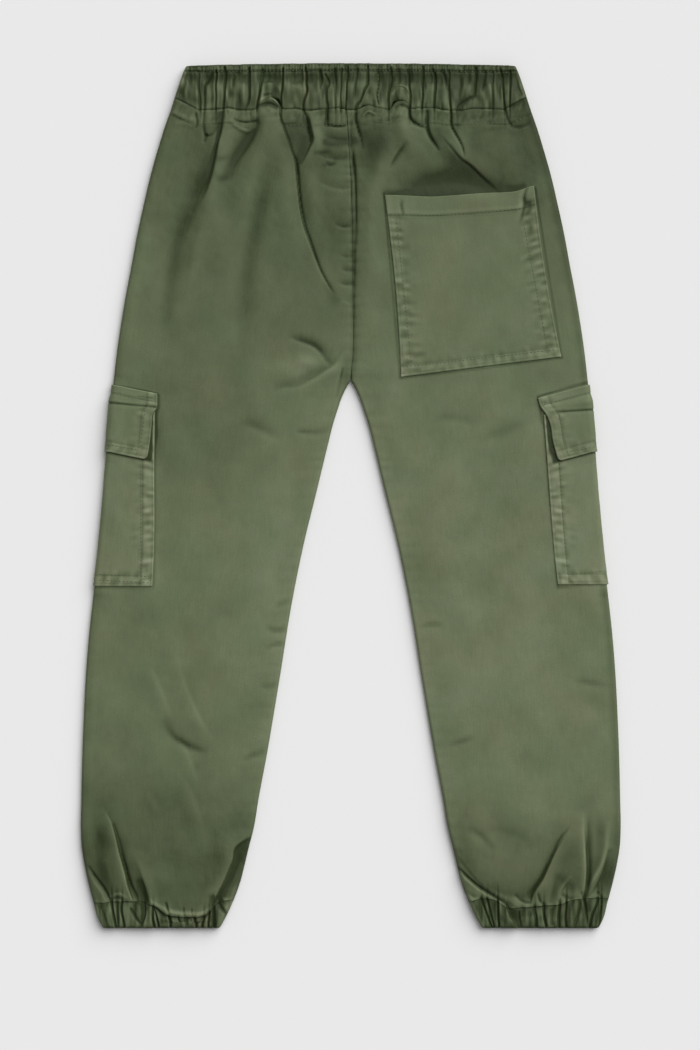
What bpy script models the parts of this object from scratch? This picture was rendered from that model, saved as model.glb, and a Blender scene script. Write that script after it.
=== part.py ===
"""Cargo pants for a child, in an elasticated jogger cut, laid flat with the back up.

The frame has +X to the right, +Y towards the waist and +Z up from the surface that the pants lie on.
Sizes are in millimetres and turn into metres when a mesh is made. A "drop" is a distance down from
the waist edge, and "left" and "right" are as they lie here. The back panels, the back pocket and the
outer halves of the cargo pockets show. The front panels lie underneath, flat on the surface.
"""

import math
from typing import NamedTuple

import bmesh
import bpy
import numpy as np

METRES_PER_MM = 0.001
SHARP_ANGLE = 50

# Whole garment
LENGTH = 693.6
BAND_DEPTH = 37.2
CUFF_SEAM = 672.0
CROTCH_DROP = 254.4
SEAM_GAP = 0.3

# Cloth walls
CLOTH = 1.1
PATCH_CLOTH = 1.0
PATCH_LIFT = SEAM_GAP + PATCH_CLOTH

# Casings: the elastic and two layers of cloth below, and the gathered cloth above
BAND_WALL = 2.4
CUFF_WALL = 2.0
CASING_SLIT = 1.2
BAND_GATHER = 2.6
CUFF_GATHER = 2.2
CASING_TOP_WALL = 1.9
CASING_ROUNDING = 0.7
SLIT_MARGIN = 1.6
FOLD_TOLERANCE = 0.001
BAND_MIDDLE = 18.6
BAND_ROWS = (0.0, 2.0, 10.0, 19.0, 28.0, BAND_DEPTH - SEAM_GAP / 2)
CUFF_MIDDLE = 682.0
CUFF_ROWS = (CUFF_SEAM + SEAM_GAP / 2, 679.0, 687.0, 691.6, LENGTH)

# A gather between two creases: its full width, how soon it rises and how high its crown stands
FULL_GATHER = 9.0
GATHER_SHOULDER = 0.32
GATHER_CROWN = 0.88
GATHERS_PER_FLAT_POINT = 10
FEWEST_FLAT_POINTS = 3

# The waist edge bows up at the centre, and the band's seam climbs towards the side folds
WAIST_BOW = 2.0
BAND_SEAM_CLIMB = 9.6
BAND_CLIMB_REACH = 22.0
BAND_CLIMB_FADE = 100.0

# How fast the tube rises from its side folds to its crown
CROWN_REACH = 25.0
LEAST_HEIGHT = 3.4
LEAST_HEIGHT_SHARE = 0.25

# Where the centre seam dips into the crotch
CROTCH_DIP = 10.0

# Grid of a panel
CURL_STEPS = 3
SIDE_STEPS = 3
BACK_STEPS = 15
FRONT_STEPS = 2
SEAT_END = 112.0
ANKLE_START = 590.0
BACK_SEAT_STEPS = 10
FRONT_SEAT_STEPS = 4
BACK_ANKLE_STEPS = 9
FRONT_ANKLE_STEPS = 7
BACK_THIGH_ROWS = (137, 165, 198, 228)
FRONT_THIGH_ROWS = (150, 190, 228)
CROTCH_ROWS = (CROTCH_DROP - CROTCH_DIP, 247.5, 250.6, CROTCH_DROP, 256.6, 259)
BACK_SHIN_ROWS = (470, 510, 550)
FRONT_SHIN_ROWS = (485, 540)


class Side(NamedTuple):
    """How far the side fold lies from the centre line, at a drop."""

    drop: float
    reach: float


class Inseam(NamedTuple):
    """How far the inseam fold lies from the centre line, at a drop."""

    drop: float
    reach: float


class Depth(NamedTuple):
    """Thickness of the flattened tube at its side folds and at its crown, at a drop."""

    drop: float
    fold: float
    crown: float


class CentreSeam(NamedTuple):
    """Where the back's centre seam wanders to, at a drop."""

    drop: float
    shift: float


class Fold(NamedTuple):
    """A fold along a route of (x, drop, height) points. A height below zero is a trough."""

    name: str
    half_width: float
    route: tuple


class Cargo(NamedTuple):
    """A cargo pocket and its flap, wrapped round a side fold. Reaches are measured from that fold."""

    name: str
    sign: int
    pocket_back_top: float
    pocket_back_bottom: float
    flap_back_top: float
    flap_back_bottom: float
    flap_slant: float
    pocket_end: float


SIDE_LINE = (
    Side(0, 131.2), Side(6, 134.0), Side(20, 139.0), Side(37, 144.4), Side(50, 149.0),
    Side(66, 154.0), Side(90, 160.8), Side(114, 166.4), Side(138, 171.6), Side(162, 176.0),
    Side(186, 180.6), Side(210, 184.6), Side(234, 188.0), Side(254, 190.2), Side(280, 192.4),
    Side(306, 194.6), Side(344, 197.9), Side(392, 202.3), Side(430, 207.0), Side(462, 210.4),
    Side(494, 212.8), Side(526, 214.4), Side(558, 215.6), Side(590, 216.3), Side(614, 216.7),
    Side(628, 216.0), Side(643, 213.6), Side(657, 210.4), Side(672, 206.4), Side(686, 202.8),
    Side(694, 198.6),
)

INSEAM_LINE = (
    Inseam(CROTCH_DROP, 0.0), Inseam(256, 1.3), Inseam(258, 2.5), Inseam(268, 7.4), Inseam(277, 10.4),
    Inseam(287, 13.6), Inseam(306, 18.4), Inseam(344, 27.6), Inseam(383, 37.2), Inseam(430, 46.8),
    Inseam(494, 57.2), Inseam(558, 68.0), Inseam(590, 74.0), Inseam(614, 78.0), Inseam(628, 81.6),
    Inseam(643, 85.2), Inseam(657, 88.8), Inseam(672, 94.4), Inseam(686, 100.8), Inseam(694, 105.4),
)

DEPTHS = (
    Depth(0, 7.0, 8.4), Depth(37, 7.0, 9.0), Depth(60, 6.6, 9.2), Depth(120, 6.0, 8.2),
    Depth(200, 5.4, 6.8), Depth(254, 5.0, 6.2), Depth(330, 5.0, 6.0), Depth(450, 5.0, 5.8),
    Depth(560, 5.2, 6.4), Depth(620, 5.8, 8.4), Depth(655, 6.4, 9.2), Depth(672, 6.6, 8.4),
    Depth(694, 6.4, 7.6),
)

CENTRE_SEAM = (
    CentreSeam(37, -3.0), CentreSeam(110, 0.8), CentreSeam(190, 1.6), CentreSeam(235, 1.6),
    CentreSeam(CROTCH_DROP, 0.0), CentreSeam(300, 0.0),
)

# The largest folds of the back: gathers that fan out of the waistband, creases at the crotch and
# the knee, and the deep folds where the wide leg is drawn into the cuff
BACK_FOLDS = (
    Fold("left_side_gather", 9, (
        (-105, 38, -2.2), (-109, 68, -2.4), (-117, 92, -1.8), (-131, 125, -1.1), (-140, 200, 0),
    )),
    Fold("left_second_gather", 8, ((-75, 38, -1.6), (-88, 70, -1.4), (-99, 93, 0))),
    Fold("left_seat_ridge", 13, ((-66, 38, 1.4), (-66, 97, 1.4), (-67, 158, 0))),
    Fold("left_long_pleat", 7, (
        (-57, 38, -2.0), (-45, 76, -2.6), (-40, 113, -2.4), (-27, 157, -1.6), (-12, 187, 0),
    )),
    Fold("left_short_pleat", 6, ((-36, 38, -2.0), (-32, 58, -2.0), (-41, 84, 0))),
    Fold("left_seam_hollow", 9, ((-12, 42, -0.5), (-12, 64, -1.6), (-12, 90, 0))),
    Fold("left_crotch_crease", 7, ((-18, 243, -0.6), (-44, 258, -1.2), (-62, 261, 0))),
    Fold("left_thigh_arc", 7, ((-47, 219, 0), (-31, 224, -1.1), (-21, 236, 0))),
    Fold("left_thigh_hollow", 9, ((-80, 290, 0), (-67, 296, -1.1), (-55, 304, 0))),
    Fold("left_knee_outer_ridge", 8, ((-163, 484, 0), (-150, 515, 0.9), (-142, 530, 0))),
    Fold("left_knee_inner_ridge", 8, ((-142, 467, 0), (-130, 513, 0.9), (-110, 545, 0))),
    Fold("left_ankle_ridge", 7, (
        (-197, 602, 0), (-187, 622, 2.0), (-180, 650, 2.4), (-170, 674, 1.6),
    )),
    Fold("left_ankle_hollow", 7, ((-176, 618, 0), (-170, 645, -2.0), (-164, 670, -2.2))),
    Fold("left_ankle_side_hollow", 6, ((-203, 607, 0), (-198, 640, -1.5), (-194, 670, -1.0))),
    Fold("left_inseam_tuck", 8, ((-86, 622, 0), (-94, 645, -1.8), (-102, 670, -1.8))),
    Fold("right_seam_trough", 6, ((5, 38, -1.0), (7, 66, -1.8), (5, 95, 0))),
    Fold("right_seat_ridge", 12, ((28, 45, 1.0), (20, 100, 1.2), (18, 180, 0))),
    Fold("right_first_gather", 6, ((46, 38, -1.5), (52, 48, -1.4), (60, 60, 0))),
    Fold("right_short_pleat", 6, ((61, 38, -1.8), (64, 56, -2.0), (71, 72, 0))),
    Fold("right_long_pleat", 7, ((82, 42, -1.6), (91, 76, -2.0), (108, 92, -1.6), (125, 104, 0))),
    Fold("pocket_mouth_hollow", 12, ((42, 86, 0), (75, 90, -1.6), (105, 94, -1.4), (135, 96, 0))),
    Fold("right_thigh_crease", 9, ((94, 330, 0), (120, 312, -0.8), (146, 297, 0))),
    Fold("right_ankle_tuck", 7, ((88, 645, 0), (101, 655, -2.0), (122, 670, -2.2))),
    Fold("right_ankle_bulge", 13, ((98, 612, 0), (125, 638, 1.4), (142, 652, 0.4))),
    Fold("right_ankle_crease", 6, ((174, 615, 0), (160, 636, -1.8), (147, 664, -1.6))),
    Fold("right_ankle_ridge", 6, ((186, 610, 0), (186, 640, 1.8), (186, 670, 1.2))),
    Fold("right_ankle_side_hollow", 6, ((198, 618, 0), (195, 645, -1.5), (193, 670, -1.2))),
)

# Creases between the gathers, from left to right along each casing
BAND_CREASES = (
    -126, -121, -114, -108, -101.5, -92, -81.5, -77, -72, -64, -55, -45.5, -36, -29, -19, -13.5, -8, 1.5, 12,
    21.5, 31, 38.5, 46, 52, 57.5, 67, 73, 78.5, 85.5, 93, 99, 106.5, 114, 121, 127,
)
LEFT_CUFF_CREASES = (
    -197, -190, -185, -180, -172, -165, -157.5, -153.5, -145.5, -138, -131, -124, -117.5, -110,
)
RIGHT_CUFF_CREASES = (110, 118.5, 126.5, 134.5, 141.5, 149, 155.5, 161.5, 167, 173, 179, 187, 194.5)

# Cargo pockets
CARGO_GIRTH = 96.0
FLAP_GIRTH = 99.0
FLAP_TOP = 257.6
FLAP_BOTTOM = 311.6
POCKET_MOUTH = 272.0
FLAP_MIDDLE = 292.0
FLAP_LOW = 304.0
POCKET_MIDDLE_ROWS = (350.0, 385.0)
PATCH_BACK_COLUMNS = 6
PATCH_FRONT_COLUMNS = 5
CARGO_REST_REACH = 64.0
CARGO_REST_FADE = 12.0
CARGO_RAMP = 7.0
SLANT_REACH = 46.0
SLANT_FADE = 60.0
SLANT_START = 244.4
SLANT_END = 370.0
CARGOS = (
    Cargo("left", -1, 37.0, 46.5, 36.5, 33.5, 0.20, 419.4),
    Cargo("right", 1, 41.0, 38.5, 40.5, 31.0, 0.26, 418.0),
)

# Back pocket: its corners as (x, drop), and its gaping, hemmed mouth
POCKET_TOP_LEFT = (27.0, 106.2)
POCKET_TOP_RIGHT = (146.8, 98.4)
POCKET_BOTTOM_LEFT = (40.2, 251.6)
POCKET_BOTTOM_RIGHT = (168.8, 235.4)
POCKET_EDGE_BOW = 2.0
POCKET_MOUTH_SAG = 1.6
POCKET_HEM = 15.5
POCKET_HEM_EXTRA = 0.4
POCKET_GAPE = 1.4
POCKET_COLUMNS = 13
POCKET_ROWS = (0.0, 0.05, 0.1, 0.13, 0.22, 0.32, 0.43, 0.54, 0.65, 0.76, 0.88, 1.0)

OLIVE = "#616B50"
OLIVE_DARK = "#50583F"
OLIVE_LIGHT = "#6C755B"
CLOTH_ROUGHNESS = 0.85


def smooth(drop, table, column):
    """Read a column of a table at some drops, on a smooth curve through its rows."""
    knots = np.array([row.drop for row in table], dtype=float)
    values = np.array([getattr(row, column) for row in table], dtype=float)
    slopes = np.gradient(values, knots)
    at = np.clip(np.asarray(drop, dtype=float), knots[0], knots[-1])
    low = np.clip(np.searchsorted(knots, at, side="right") - 1, 0, len(knots) - 2)
    span = knots[low + 1] - knots[low]
    t = (at - knots[low]) / span
    near = (2 * t**3 - 3 * t**2 + 1) * values[low] + (t**3 - 2 * t**2 + t) * span * slopes[low]
    far = (3 * t**2 - 2 * t**3) * values[low + 1] + (t**3 - t**2) * span * slopes[low + 1]
    return near + far


def ease(value):
    """Turn 0 to 1 into a soft step that starts and ends level."""
    t = np.clip(value, 0.0, 1.0)
    return t * t * (3 - 2 * t)


def side_reach(drop):
    """Distance from the centre line to the side fold."""
    return smooth(drop, SIDE_LINE, "reach")


def inseam_reach(drop):
    """Distance from the centre line to the inseam fold, zero above the crotch."""
    below = np.asarray(drop, dtype=float) > CROTCH_DROP
    return np.where(below, smooth(drop, INSEAM_LINE, "reach"), 0.0)


def leg_split(drop):
    """How far the inner edge has turned into a fold of its own: 0 at the seat, 1 on the legs."""
    return ease((np.asarray(drop, dtype=float) - CROTCH_DROP + CROTCH_DIP) / CROTCH_DIP)


def climb(from_side, drop):
    """How far a row near the band's seam bends up towards the side fold."""
    near_side = np.clip(1 - from_side / BAND_CLIMB_REACH, 0, 1)
    above = np.clip(drop / BAND_DEPTH, 0, 1)
    below = 1 - ease((drop - BAND_DEPTH) / (BAND_CLIMB_FADE - BAND_DEPTH))
    return BAND_SEAM_CLIMB * near_side * above * below


def seam_line(from_side, outer, inner, row):
    """Place inner points of the band's seam on the line that the outer points follow."""
    moved_in = np.abs(outer[:, 0]) - np.abs(inner[:, 0])
    return LENGTH / 2 - row + climb(from_side + moved_in, row)


def flap_slant(from_side, row, cargo):
    """How far the rows round the cargo flap bend down, away from the side fold."""
    strength = ease((row - SLANT_START) / (FLAP_TOP - 1 - SLANT_START))
    strength = strength * (1 - ease((row - FLAP_BOTTOM - 1) / (SLANT_END - FLAP_BOTTOM - 1)))
    fade = 1 - ease((from_side - SLANT_REACH) / SLANT_FADE)
    return cargo.flap_slant * np.minimum(from_side, SLANT_REACH) * fade * strength


def fold_relief(x, drop):
    """Height of the folds of the back at some points."""
    total = np.zeros(np.broadcast(x, drop).shape)
    for fold in BACK_FOLDS:
        best = np.full(total.shape, np.inf)
        height = np.zeros(total.shape)
        for (x0, d0, h0), (x1, d1, h1) in zip(fold.route, fold.route[1:]):
            run = (x1 - x0) ** 2 + (d1 - d0) ** 2
            t = np.clip(((x - x0) * (x1 - x0) + (drop - d0) * (d1 - d0)) / run, 0, 1)
            away = (x - x0 - t * (x1 - x0)) ** 2 + (drop - d0 - t * (d1 - d0)) ** 2
            closer = away < best
            best = np.where(closer, away, best)
            height = np.where(closer, h0 + t * (h1 - h0), height)
        total += height * np.exp(-best / fold.half_width**2)
    return total


def cargo_rest(from_side, row, pocket_end):
    """How far the cargo pocket and flap underneath hold the leg off the surface."""
    flap_only = np.interp(row, (FLAP_TOP - CARGO_RAMP, FLAP_TOP - 1), (0, PATCH_LIFT))
    pocket_too = np.interp(
        row,
        (POCKET_MOUTH - CARGO_RAMP, POCKET_MOUTH - 1, FLAP_BOTTOM + 1, FLAP_BOTTOM + 1 + CARGO_RAMP),
        (0, PATCH_LIFT, PATCH_LIFT, 0),
    )
    gone = np.interp(row, (pocket_end + 1, pocket_end + 1 + CARGO_RAMP), (0, PATCH_LIFT))
    fade = ease((CARGO_REST_REACH + CARGO_REST_FADE - from_side) / CARGO_REST_FADE)
    return (flap_only + pocket_too - gone) * fade


class Panel:
    """The outer surface of one front or back panel of a leg, as a grid of rows and columns."""

    def __init__(self, cargo, is_back, rows, steps):
        """Lay out the grid from the side fold to the inner edge."""
        self.cargo = cargo
        self.is_back = is_back
        self.rows = np.array(rows, dtype=float)
        curl = np.linspace(0, math.pi / 2, CURL_STEPS + 1)
        self.curl_columns = CURL_STEPS + 1
        self.split = leg_split(self.rows)[:, None]
        depth = smooth(self.rows, DEPTHS, "fold")[:, None]
        radius = depth / 2
        inner = np.maximum(inseam_reach(self.rows)[:, None], SEAM_GAP / 2)
        if is_back:
            inner = inner + smooth(self.rows, CENTRE_SEAM, "shift")[:, None] * cargo.sign
        width = side_reach(self.rows)[:, None] - inner
        turn_in = radius * (1 - np.cos(curl))[None, :]
        near = radius + (BAND_CLIMB_REACH - radius) * np.linspace(0, 1, SIDE_STEPS + 1)[None, 1:]
        start = BAND_CLIMB_REACH
        if not is_back:
            start = CARGO_REST_REACH + CARGO_REST_FADE
            edge_of_rest = np.ones_like(radius) * (CARGO_REST_REACH, start)
            near = np.hstack((near, edge_of_rest))
        far = start + (width - radius - start) * np.linspace(0, 1, steps + 1)[None, 1:-1]
        middle = np.hstack((near, far))
        self.from_side = np.hstack((turn_in, middle, width - turn_in[:, ::-1]))
        sine = np.sin(curl)[None, :] * np.ones_like(radius)
        flat = np.ones_like(middle)
        self.side_turn = np.hstack((sine, flat, np.ones_like(sine)))
        inner_turn = np.hstack((np.ones_like(sine), flat, sine[:, ::-1]))
        self.inner_turn = 1 - self.split * (1 - inner_turn)
        self.girth = np.hstack((radius * curl[None, :], self.from_side[:, self.curl_columns:]))
        self.girth[:, self.curl_columns:] += radius * (math.pi / 2 - 1)
        self.points = self.place()

    def place(self):
        """Work out the points of the grid."""
        row = self.rows[:, None]
        drop = row - climb(self.from_side, row)
        if self.is_back:
            drop = drop + flap_slant(self.from_side, row, self.cargo)
        reach = side_reach(drop) - self.from_side
        rest = cargo_rest(self.from_side, row, self.cargo.pocket_end)
        fold_depth = smooth(drop, DEPTHS, "fold")
        seam_height = rest + fold_depth / 2
        turn = self.side_turn * self.inner_turn
        if self.is_back:
            crown = smooth(drop, DEPTHS, "crown")
            from_inner = np.maximum(reach - inseam_reach(drop), 0)
            rise = 1 - np.exp(-self.from_side / CROWN_REACH)
            rise = rise * (1 - self.split * np.exp(-from_inner / CROWN_REACH))
            height = fold_depth + (crown - fold_depth) * rise + fold_relief(self.cargo.sign * reach, drop)
            height = rest + np.maximum(height, LEAST_HEIGHT + LEAST_HEIGHT_SHARE * fold_depth)
            rim = seam_height + SEAM_GAP / 2
            z = rim + (height - rim) * turn
        else:
            rim = seam_height - SEAM_GAP / 2
            z = rim - (rim - rest) * turn
        return np.dstack((self.cargo.sign * reach, LENGTH / 2 - drop, z))

    def wall(self):
        """Give the outer points and the inner points of the cloth."""
        normal = grid_normals(self.points, self.is_back, self.points.shape[1] // 2)
        normal[:, 0] = (self.cargo.sign, 0, 0)
        split = self.split[:, 0]
        level = 1 if self.is_back else -1
        edge = np.stack((-self.cargo.sign * split, np.zeros_like(split), level * (1 - split)), axis=1)
        normal[:, -1] = edge / np.linalg.norm(edge, axis=1)[:, None]
        normal[0, :, 1] = 0
        normal[-1, :, 1] = 0
        normal /= np.linalg.norm(normal, axis=2)[..., None]
        inner = self.points - CLOTH * normal
        inner[0, :, 1] = seam_line(self.from_side[0], self.points[0], inner[0], self.rows[0])
        return self.points, inner

    def sample(self, girth, row_drop):
        """Read the surface at a distance round from the side fold, on a row or between two."""
        row = int(np.clip(np.searchsorted(self.rows, row_drop, side="right") - 1, 0, len(self.rows) - 2))
        share = (row_drop - self.rows[row]) / (self.rows[row + 1] - self.rows[row])
        ends = []
        for at in (row, row + 1):
            ends.append([np.interp(girth, self.girth[at], self.points[at, :, axis]) for axis in range(3)])
        return (1 - share) * np.array(ends[0]) + share * np.array(ends[1])

    def height_at(self, x, drop):
        """Read the height of the surface under a point."""
        row = int(np.clip(np.searchsorted(self.rows, drop, side="right") - 1, 0, len(self.rows) - 2))
        share = (drop - self.rows[row]) / (self.rows[row + 1] - self.rows[row])
        ends = []
        for at in (row, row + 1):
            order = np.argsort(self.points[at, :, 0])
            ends.append(np.interp(x, self.points[at, order, 0], self.points[at, order, 2]))
        return (1 - share) * ends[0] + share * ends[1]


def grid_normals(grid, up, column):
    """Find a grid's unit normals, which point up or down at the given column."""
    down_rows = np.gradient(grid, axis=0)
    along_row = np.gradient(grid, axis=1)
    normal = np.cross(down_rows, along_row)
    normal /= np.linalg.norm(normal, axis=2)[..., None]
    points_up = normal[normal.shape[0] // 2, column, 2] > 0
    return normal if points_up == up else -normal


def olive_cloth(name, colour):
    """Make the plain matt material of one piece."""
    material = bpy.data.materials.new(name + "_cloth")
    material.use_nodes = True
    channels = [int(colour[i:i + 2], 16) / 255 for i in (1, 3, 5)]
    linear = [c / 12.92 if c <= 0.04045 else ((c + 0.055) / 1.055) ** 2.4 for c in channels]
    shader = material.node_tree.nodes["Principled BSDF"]
    shader.inputs["Base Color"].default_value = (*linear, 1)
    shader.inputs["Roughness"].default_value = CLOTH_ROUGHNESS
    shader.inputs["Metallic"].default_value = 0
    material.diffuse_color = (*linear, 1)
    return material


def add_solid(name, vertices, faces, colour):
    """Turn vertices in millimetres and faces into a named, smooth-shaded object."""
    mesh = bpy.data.meshes.new(name)
    body = bmesh.new()
    corners = [body.verts.new(tuple(point * METRES_PER_MM)) for point in vertices]
    for face in faces:
        body.faces.new([corners[index] for index in face])
    bmesh.ops.recalc_face_normals(body, faces=body.faces)
    bmesh.ops.triangulate(body, faces=body.faces)
    body.to_mesh(mesh)
    body.free()
    mesh.shade_smooth()
    mesh.set_sharp_from_angle(angle=math.radians(SHARP_ANGLE))
    mesh.materials.append(olive_cloth(name, colour))
    bpy.context.collection.objects.link(bpy.data.objects.new(name, mesh))


def add_wall(name, outer, inner, colour):
    """Close an outer and an inner grid of points into one wall of cloth."""
    rows, columns = outer.shape[:2]
    count = rows * columns
    vertices = np.vstack((outer.reshape(-1, 3), inner.reshape(-1, 3)))
    faces = []
    for row in range(rows - 1):
        for column in range(columns - 1):
            a = row * columns + column
            b, c, d = a + 1, a + columns + 1, a + columns
            faces.append((a, b, c, d))
            faces.append((a + count, d + count, c + count, b + count))
    top = list(range(columns))
    bottom = [(rows - 1) * columns + column for column in range(columns)]
    first = [row * columns for row in range(rows)]
    last = [row * columns + columns - 1 for row in range(rows)]
    for edge in (top, bottom, first, last):
        for a, b in zip(edge, edge[1:]):
            faces.append((a, b, b + count, a + count))
    add_solid(name, vertices, faces, colour)


def add_ring(name, outer_loops, inner_loops, colour):
    """Close stacks of outer and inner loops of equal length into a flattened ring."""
    loops = list(outer_loops) + list(inner_loops)[::-1]
    size = len(loops[0])
    faces = []
    for at in range(len(loops)):
        here = at * size
        there = (at + 1) % len(loops) * size
        for column in range(size):
            after = (column + 1) % size
            faces.append((here + column, here + after, there + after, there + column))
    add_solid(name, np.vstack(loops), faces, colour)


def gather_profile(creases):
    """Give (x, height share) points across the gathers: low at each crease, rounded between."""
    points = []
    for left, right in zip(creases, creases[1:]):
        crown = GATHER_CROWN * min(1.0, (right - left) / FULL_GATHER)
        shoulder = GATHER_SHOULDER * (right - left)
        points.extend(((left, 0.0), (left + shoulder, crown), (right - shoulder, crown)))
    points.append((creases[-1], 0.0))
    return points


def casing_loop(left, right, fold, crest, gathers, gather_height, shrink):
    """Work out (x, z) round one loop of a gathered casing: gathered on top, flat underneath."""
    radius = fold / 2
    curl = np.linspace(0, math.pi, 2 * CURL_STEPS + 1)
    points = [(x, crest - shrink + gather_height * share) for x, share in gathers]
    for angle in curl:
        x = right - radius + (radius - shrink) * math.sin(angle)
        points.append((x, radius + (radius - shrink) * math.cos(angle)))
    count = max(FEWEST_FLAT_POINTS, len(gathers) // GATHERS_PER_FLAT_POINT)
    middle = np.linspace(right - BAND_CLIMB_REACH, left + BAND_CLIMB_REACH, count)
    points.extend((x, shrink) for x in middle)
    for angle in curl[::-1]:
        x = left + radius - (radius - shrink) * math.sin(angle)
        points.append((x, radius + (radius - shrink) * math.cos(angle)))
    return np.array(points)


def casing_slit(loop, wall, fold):
    """Work out the slit inside a casing's loop, point for point."""
    middle = (loop[:, 0].max() + loop[:, 0].min()) / 2
    half = (loop[:, 0].max() - loop[:, 0].min()) / 2
    x = middle + (loop[:, 0] - middle) * (half - SLIT_MARGIN * wall) / half
    z = np.where(loop[:, 2] > fold / 2, wall + CASING_SLIT, wall)
    at_fold = np.abs(loop[:, 2] - fold / 2) < FOLD_TOLERANCE
    z[at_fold] = wall + CASING_SLIT / 2
    return np.stack((x, loop[:, 1], z), axis=1)


def add_waistband():
    """Make the elasticated waistband, one gathered casing all round."""
    outer_loops = []
    crest = BAND_WALL + CASING_SLIT + CASING_TOP_WALL
    for row in BAND_ROWS:
        reach = float(side_reach(row))
        scale = reach / side_reach(BAND_MIDDLE)
        turn = reach - BAND_CLIMB_REACH
        gathers = [(x * scale, share) for x, share in gather_profile(BAND_CREASES)]
        gathers = [(x, share) for x, share in gathers if abs(x) < turn - 1]
        gathers = [(-turn, 0.0), *gathers, (turn, 0.0)]
        rounding = CASING_ROUNDING if row == 0 else 0.0
        flat = casing_loop(-reach, reach, smooth(row, DEPTHS, "fold"), crest, gathers, BAND_GATHER, rounding)
        from_side = np.maximum(reach - np.abs(flat[:, 0]), 0)
        bow = WAIST_BOW * (flat[:, 0] / reach) ** 2 * (1 - row / BAND_DEPTH)
        drop = row + bow - climb(from_side, row)
        x = np.sign(flat[:, 0]) * (side_reach(drop) - from_side)
        outer_loops.append(np.stack((x, LENGTH / 2 - drop, flat[:, 1]), axis=1))
    top_slit = casing_slit(outer_loops[1], BAND_WALL, smooth(BAND_ROWS[0], DEPTHS, "fold"))
    top_slit[:, 1] = outer_loops[0][:, 1]
    bottom_slit = casing_slit(outer_loops[-1], BAND_WALL, smooth(BAND_ROWS[-1], DEPTHS, "fold"))
    bottom_slit[:, 1] = seam_line(from_side, outer_loops[-1], bottom_slit, BAND_ROWS[-1])
    add_ring("waistband", outer_loops, [top_slit, bottom_slit], OLIVE_DARK)


def add_cuff(name, sign, creases):
    """Make one elasticated cuff."""
    outer_loops = []
    at_centre = sign * (side_reach(CUFF_MIDDLE) + inseam_reach(CUFF_MIDDLE)) / 2
    at_width = side_reach(CUFF_MIDDLE) - inseam_reach(CUFF_MIDDLE)
    crest = CUFF_WALL + CASING_SLIT + CASING_TOP_WALL
    for row in CUFF_ROWS:
        left, right = sorted((float(sign * side_reach(row)), float(sign * inseam_reach(row))))
        centre = (left + right) / 2
        scale = (right - left) / at_width
        gathers = [(centre + (x - at_centre) * scale, share) for x, share in gather_profile(creases)]
        rounding = CASING_ROUNDING if row == LENGTH else 0.0
        flat = casing_loop(left, right, smooth(row, DEPTHS, "fold"), crest, gathers, CUFF_GATHER, rounding)
        y = np.full(len(flat), LENGTH / 2 - row)
        outer_loops.append(np.stack((flat[:, 0], y, flat[:, 1]), axis=1))
    top_slit = casing_slit(outer_loops[0], CUFF_WALL, smooth(CUFF_SEAM, DEPTHS, "fold"))
    bottom_slit = casing_slit(outer_loops[-2], CUFF_WALL, smooth(LENGTH, DEPTHS, "fold"))
    bottom_slit[:, 1] = outer_loops[-1][:, 1]
    add_ring(name, outer_loops, [top_slit, bottom_slit], OLIVE_DARK)


def wrap_columns(back_reach, front_reach, radius):
    """Give distances round from the side fold, from a patch's edge on the back to that on the front."""
    quarter = radius * math.pi / 2
    curl = np.linspace(0, quarter, CURL_STEPS + 1)
    back = np.linspace(back_reach, quarter, PATCH_BACK_COLUMNS)
    front = np.linspace(quarter, front_reach, PATCH_FRONT_COLUMNS)
    return np.concatenate((back, curl[::-1][1:], -curl[1:], -front[1:]))


def wrapped_grid(back, front, rows, back_reaches, front_reaches):
    """Lay a grid of points on a leg, round its side fold."""
    grid = []
    radii = smooth(rows, DEPTHS, "fold") / 2
    for row, back_reach, front_reach, radius in zip(rows, back_reaches, front_reaches, radii):
        girths = wrap_columns(back_reach, front_reach, radius)
        on_back = [back.sample(girth, row) for girth in girths if girth >= 0]
        on_front = [front.sample(-girth, row) for girth in girths if girth < 0]
        grid.append(on_back + on_front)
    return np.array(grid)


def patch_wall(grid, gaps):
    """Move a patch's grid out by each row's gap, and by the cloth as well, for its two faces."""
    normal = grid_normals(grid, True, 1)
    return grid + normal * (gaps[:, None, None] + PATCH_CLOTH), grid + normal * gaps[:, None, None]


def add_cargo(cargo, back, front):
    """Make one cargo pocket and the flap over its mouth."""
    flap_edge = (FLAP_BOTTOM + 1, FLAP_BOTTOM + 1 + CARGO_RAMP)
    rows = np.array((POCKET_MOUTH, FLAP_MIDDLE, *flap_edge, *POCKET_MIDDLE_ROWS, cargo.pocket_end))
    share = (rows - rows[0]) / (rows[-1] - rows[0])
    reaches = cargo.pocket_back_top + (cargo.pocket_back_bottom - cargo.pocket_back_top) * share
    grid = wrapped_grid(back, front, rows, reaches, CARGO_GIRTH - reaches)
    outer, inner = patch_wall(grid, np.full(len(rows), SEAM_GAP))
    add_wall("cargo_pocket_" + cargo.name, outer, inner, OLIVE_LIGHT)

    mouth_edge = (POCKET_MOUTH - CARGO_RAMP, POCKET_MOUTH - 1)
    rows = np.array((FLAP_TOP, *mouth_edge, FLAP_MIDDLE, FLAP_LOW, FLAP_BOTTOM))
    share = (rows - rows[0]) / (rows[-1] - rows[0])
    narrowing = (cargo.flap_back_top - cargo.flap_back_bottom) * share**3
    front_reach = FLAP_GIRTH - cargo.flap_back_top
    grid = wrapped_grid(back, front, rows, cargo.flap_back_top - narrowing, front_reach - narrowing)
    gaps = SEAM_GAP + np.interp(rows, mouth_edge, (0, PATCH_LIFT))
    outer, inner = patch_wall(grid, gaps)
    add_wall("cargo_flap_" + cargo.name, outer, inner, OLIVE_LIGHT)


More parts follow.
